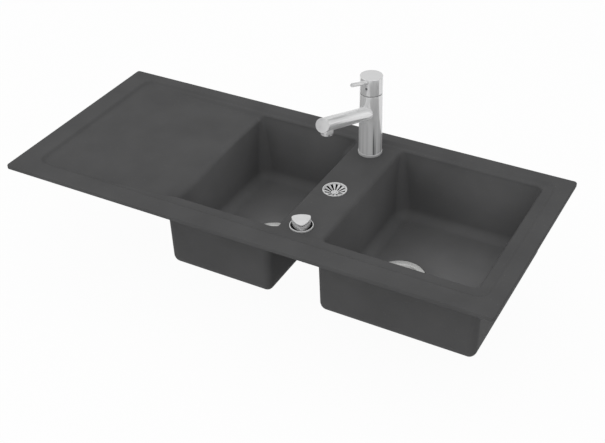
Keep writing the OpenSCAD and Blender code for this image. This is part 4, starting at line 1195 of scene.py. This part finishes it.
def make_basket(side):
    node = side + "_basket"
    centre, low, top = middle_of(node), level_of(node), level_of(node, top=True)
    rim = (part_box(node)[1].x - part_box(node)[0].x) / 2 / mm
    sheet, hub_out, hub_in, hub_h, holes_down = 1, 9, 8, 5, 9
    basket = lathe([
        (0, low + hub_h + sheet, 0), (hub_out, low + hub_h + sheet, 1.2), (hub_out, low + sheet, 0.8),
        (rim - 5, low + sheet, 1.2), (rim - 2.6, top - 1.2, 0.6), (rim - 1.6, top, 0.3), (rim, top, 0.4),
        (rim - 1, top - 1.2, 0.6), (rim - 4, low, 1.8), (hub_in, low, 0.6), (hub_in, low + hub_h, 0.8),
        (0, low + hub_h, 0),
    ], centre, 144)
    basket = carved(basket, basket_holes(centre, low, top - holes_down))
    body = side + "_strainer"
    finish_piece(side + "_strainer_basket", basket, node, body, "steel")
    knob = node + "_knob"
    foot_z, grip_z, stem_r, grip_h = level_of(knob), level_of(knob, top=True), 4, 8
    grip = lathe([
        (0, foot_z, 0), (stem_r, foot_z, 0), (stem_r, grip_z - grip_h, 1.2), (10.2, grip_z - grip_h, 1.0),
        (11, grip_z - grip_h / 2, 3), (10.4, grip_z, 1.2), (6, grip_z - 0.6, 2), (0, grip_z - 0.8, 0),
    ], centre)
    finish_piece(side + "_grip", grip, knob, body, "chrome")


for side in sides:
    make_basket(side)

# %% [markdown]
# ## Floor, world and lamps
#
# A product photographer puts such a sink on white paper in a white tent. The paper is a plain pale floor
# that glows white for the camera and in mirrors, and keeps only a breath of shadow. The tent is the
# world: brighter overhead and to the left, white behind the sink, and seen in polished metal with three
# grey flags, which give chrome dark reflected streaks. The tap's upright and spout chrome also have
# painted reflection streaks in their colour. A lamp from the front left and a low one from the front
# shape the walls, and a weak one hangs overhead. The low one stays out of the metal's reflections. Light
# that would bounce about inside the deep dark bowls comes from two small sheets in each of them.

# %% Paper floor
white = (1, 1, 1, 1)
paper_size, paper_glow = 12, 0.96


def paper_floor():
    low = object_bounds()[0][2]
    bm = bmesh.new()
    place = Matrix.Translation((0, 0, low))
    bmesh.ops.create_grid(bm, x_segments=1, y_segments=1, size=paper_size, matrix=place)
    floor = add_object("floor", mesh_from(bm, "floor"))
    paper, shader = new_finish("white_paper", (0.8, 0.8, 0.8), 0.0, 0.9)
    path = add_node(paper, "ShaderNodeLightPath")
    glow = add_node(paper, "ShaderNodeEmission", Strength=1.0, Color=white)
    rays = [(0, path, "Is Camera Ray"), (1, path, "Is Glossy Ray")]
    seen = add_node(paper, "ShaderNodeMath", rays, operation="MAXIMUM")
    most = add_node(paper, "ShaderNodeMath", [(0, seen, 0)], operation="MULTIPLY")
    most.inputs[1].default_value = paper_glow
    blend = add_node(paper, "ShaderNodeMixShader", [(0, most, 0), (1, shader, 0), (2, glow, 0)])
    join(paper, blend, 0, paper.node_tree.nodes["Material Output"], "Surface")
    floor.data.materials.append(paper)
    print("floor at", round(low, 4))


paper_floor()

# %% White tent
tent_x, tent_left, tent_right = 0.9, 1.03, 0.82
tent_low, tent_high = 0.24, 1.22
mirrored_light, flag_tone = 0.6, 0.25
flag_places = [(0.16, 0.03), (0.36, 0.02), (0.62, 0.04)]


def white_tent():
    world = bpy.data.worlds.new("white_tent")
    bpy.context.scene.world = world
    world.use_nodes = True
    direction = add_node(world, "ShaderNodeTexCoord")
    split = add_node(world, "ShaderNodeSeparateXYZ", [(0, direction, "Generated")])
    side = ranged(world, split, "X", (-tent_x, tent_x), (tent_left, tent_right))
    height = ranged(world, split, "Z", after=(tent_low, tent_high))
    light = add_node(world, "ShaderNodeMath", [(0, side, 0), (1, height, 0)], operation="MULTIPLY")
    soft = world.node_tree.nodes["Background"]
    soft.inputs["Color"].default_value = white
    join(world, light, 0, soft, "Strength")
    turn = add_node(world, "ShaderNodeMath", [(0, split, "Y"), (1, split, "X")], operation="ARCTAN2")
    flags = add_node(world, "ShaderNodeValToRGB", [("Fac", ranged(world, turn, 0, (-math.pi, math.pi)), 0)])
    stops = flags.color_ramp.elements
    stops[0].color = white
    for middle, width in flag_places:
        for off, tone in ((-width, 1), (-width / 2, flag_tone), (width / 2, flag_tone), (width, 1)):
            stops.new(middle + off).color = (tone, tone, tone, 1)
    wires = [("Color", flags, "Color")]
    mirrored = add_node(world, "ShaderNodeBackground", wires, Strength=mirrored_light)
    seen = add_node(world, "ShaderNodeBackground", Color=white)
    path = add_node(world, "ShaderNodeLightPath")
    wires = [(0, path, "Is Glossy Ray"), (1, soft, 0), (2, mirrored, 0)]
    first = add_node(world, "ShaderNodeMixShader", wires)
    wires = [(0, path, "Is Camera Ray"), (1, first, 0), (2, seen, 0)]
    second = add_node(world, "ShaderNodeMixShader", wires)
    join(world, second, 0, world.node_tree.nodes["World Output"], "Surface")
    print(len(flag_places), "flags in the tent")


white_tent()

# %% Lamps
def area_lamp(name, place, target, size, watts, hidden_from=()):
    data = bpy.data.lights.new(name, "AREA")
    data.shape = "RECTANGLE"
    data.size, data.size_y = size
    data.energy = watts
    lamp = add_object(name, data)
    aim = (Vector(target) - Vector(place)).to_track_quat("-Z", "Y")
    lamp.matrix_world = Matrix.Translation(place) @ aim.to_matrix().to_4x4()
    for rays in hidden_from:
        setattr(lamp, "visible_" + rays, False)
    print(name, watts, "W")


middle = (0, 0, 0)
area_lamp("front_left_softbox", (-1.6, -2.0, 2.0), middle, (1.8, 1.4), 5)
area_lamp("low_front_softbox", (-0.4, -3.2, 0.45), middle, (1.6, 0.8), 12, ["glossy"])
area_lamp("overhead_softbox", (0.6, 0, 2.4), (0.2, 0, 0), (1.8, 1.2), 2)


def bowl_lamps(side, bowl, mouth_watts, wall_watts):
    """Two soft sheets of light in a bowl: one in its mouth, and one by its right wall that faces left."""
    x0, x1, y0, y1 = bowl
    wide, deep = x1 - x0, y1 - y0
    mouth = (mix(x0, x1, 0.5), mix(y0, y1, 0.5), 0)
    near_wall = (mix(x0, x1, 0.85), mix(y0, y1, 0.4), -45 * mm)
    far_wall = (x0, mix(y0, y1, 0.7), -80 * mm)
    mouth_size, wall_size = (wide - lip, deep - lip), (0.6 * deep, 60 * mm)
    hidden = ["camera", "glossy"]
    area_lamp(side + "_mouth_lamp", mouth, (*mouth[:2], -1), mouth_size, mouth_watts, hidden)
    area_lamp(side + "_wall_lamp", near_wall, far_wall, wall_size, wall_watts, hidden)


bowl_lamps("left", (left_bowl[0], left_bowl[1] - shoulder_w, *bowl_y), 0.11, 0.12)
bowl_lamps("right", right_bowl, 0.11, 0.2)
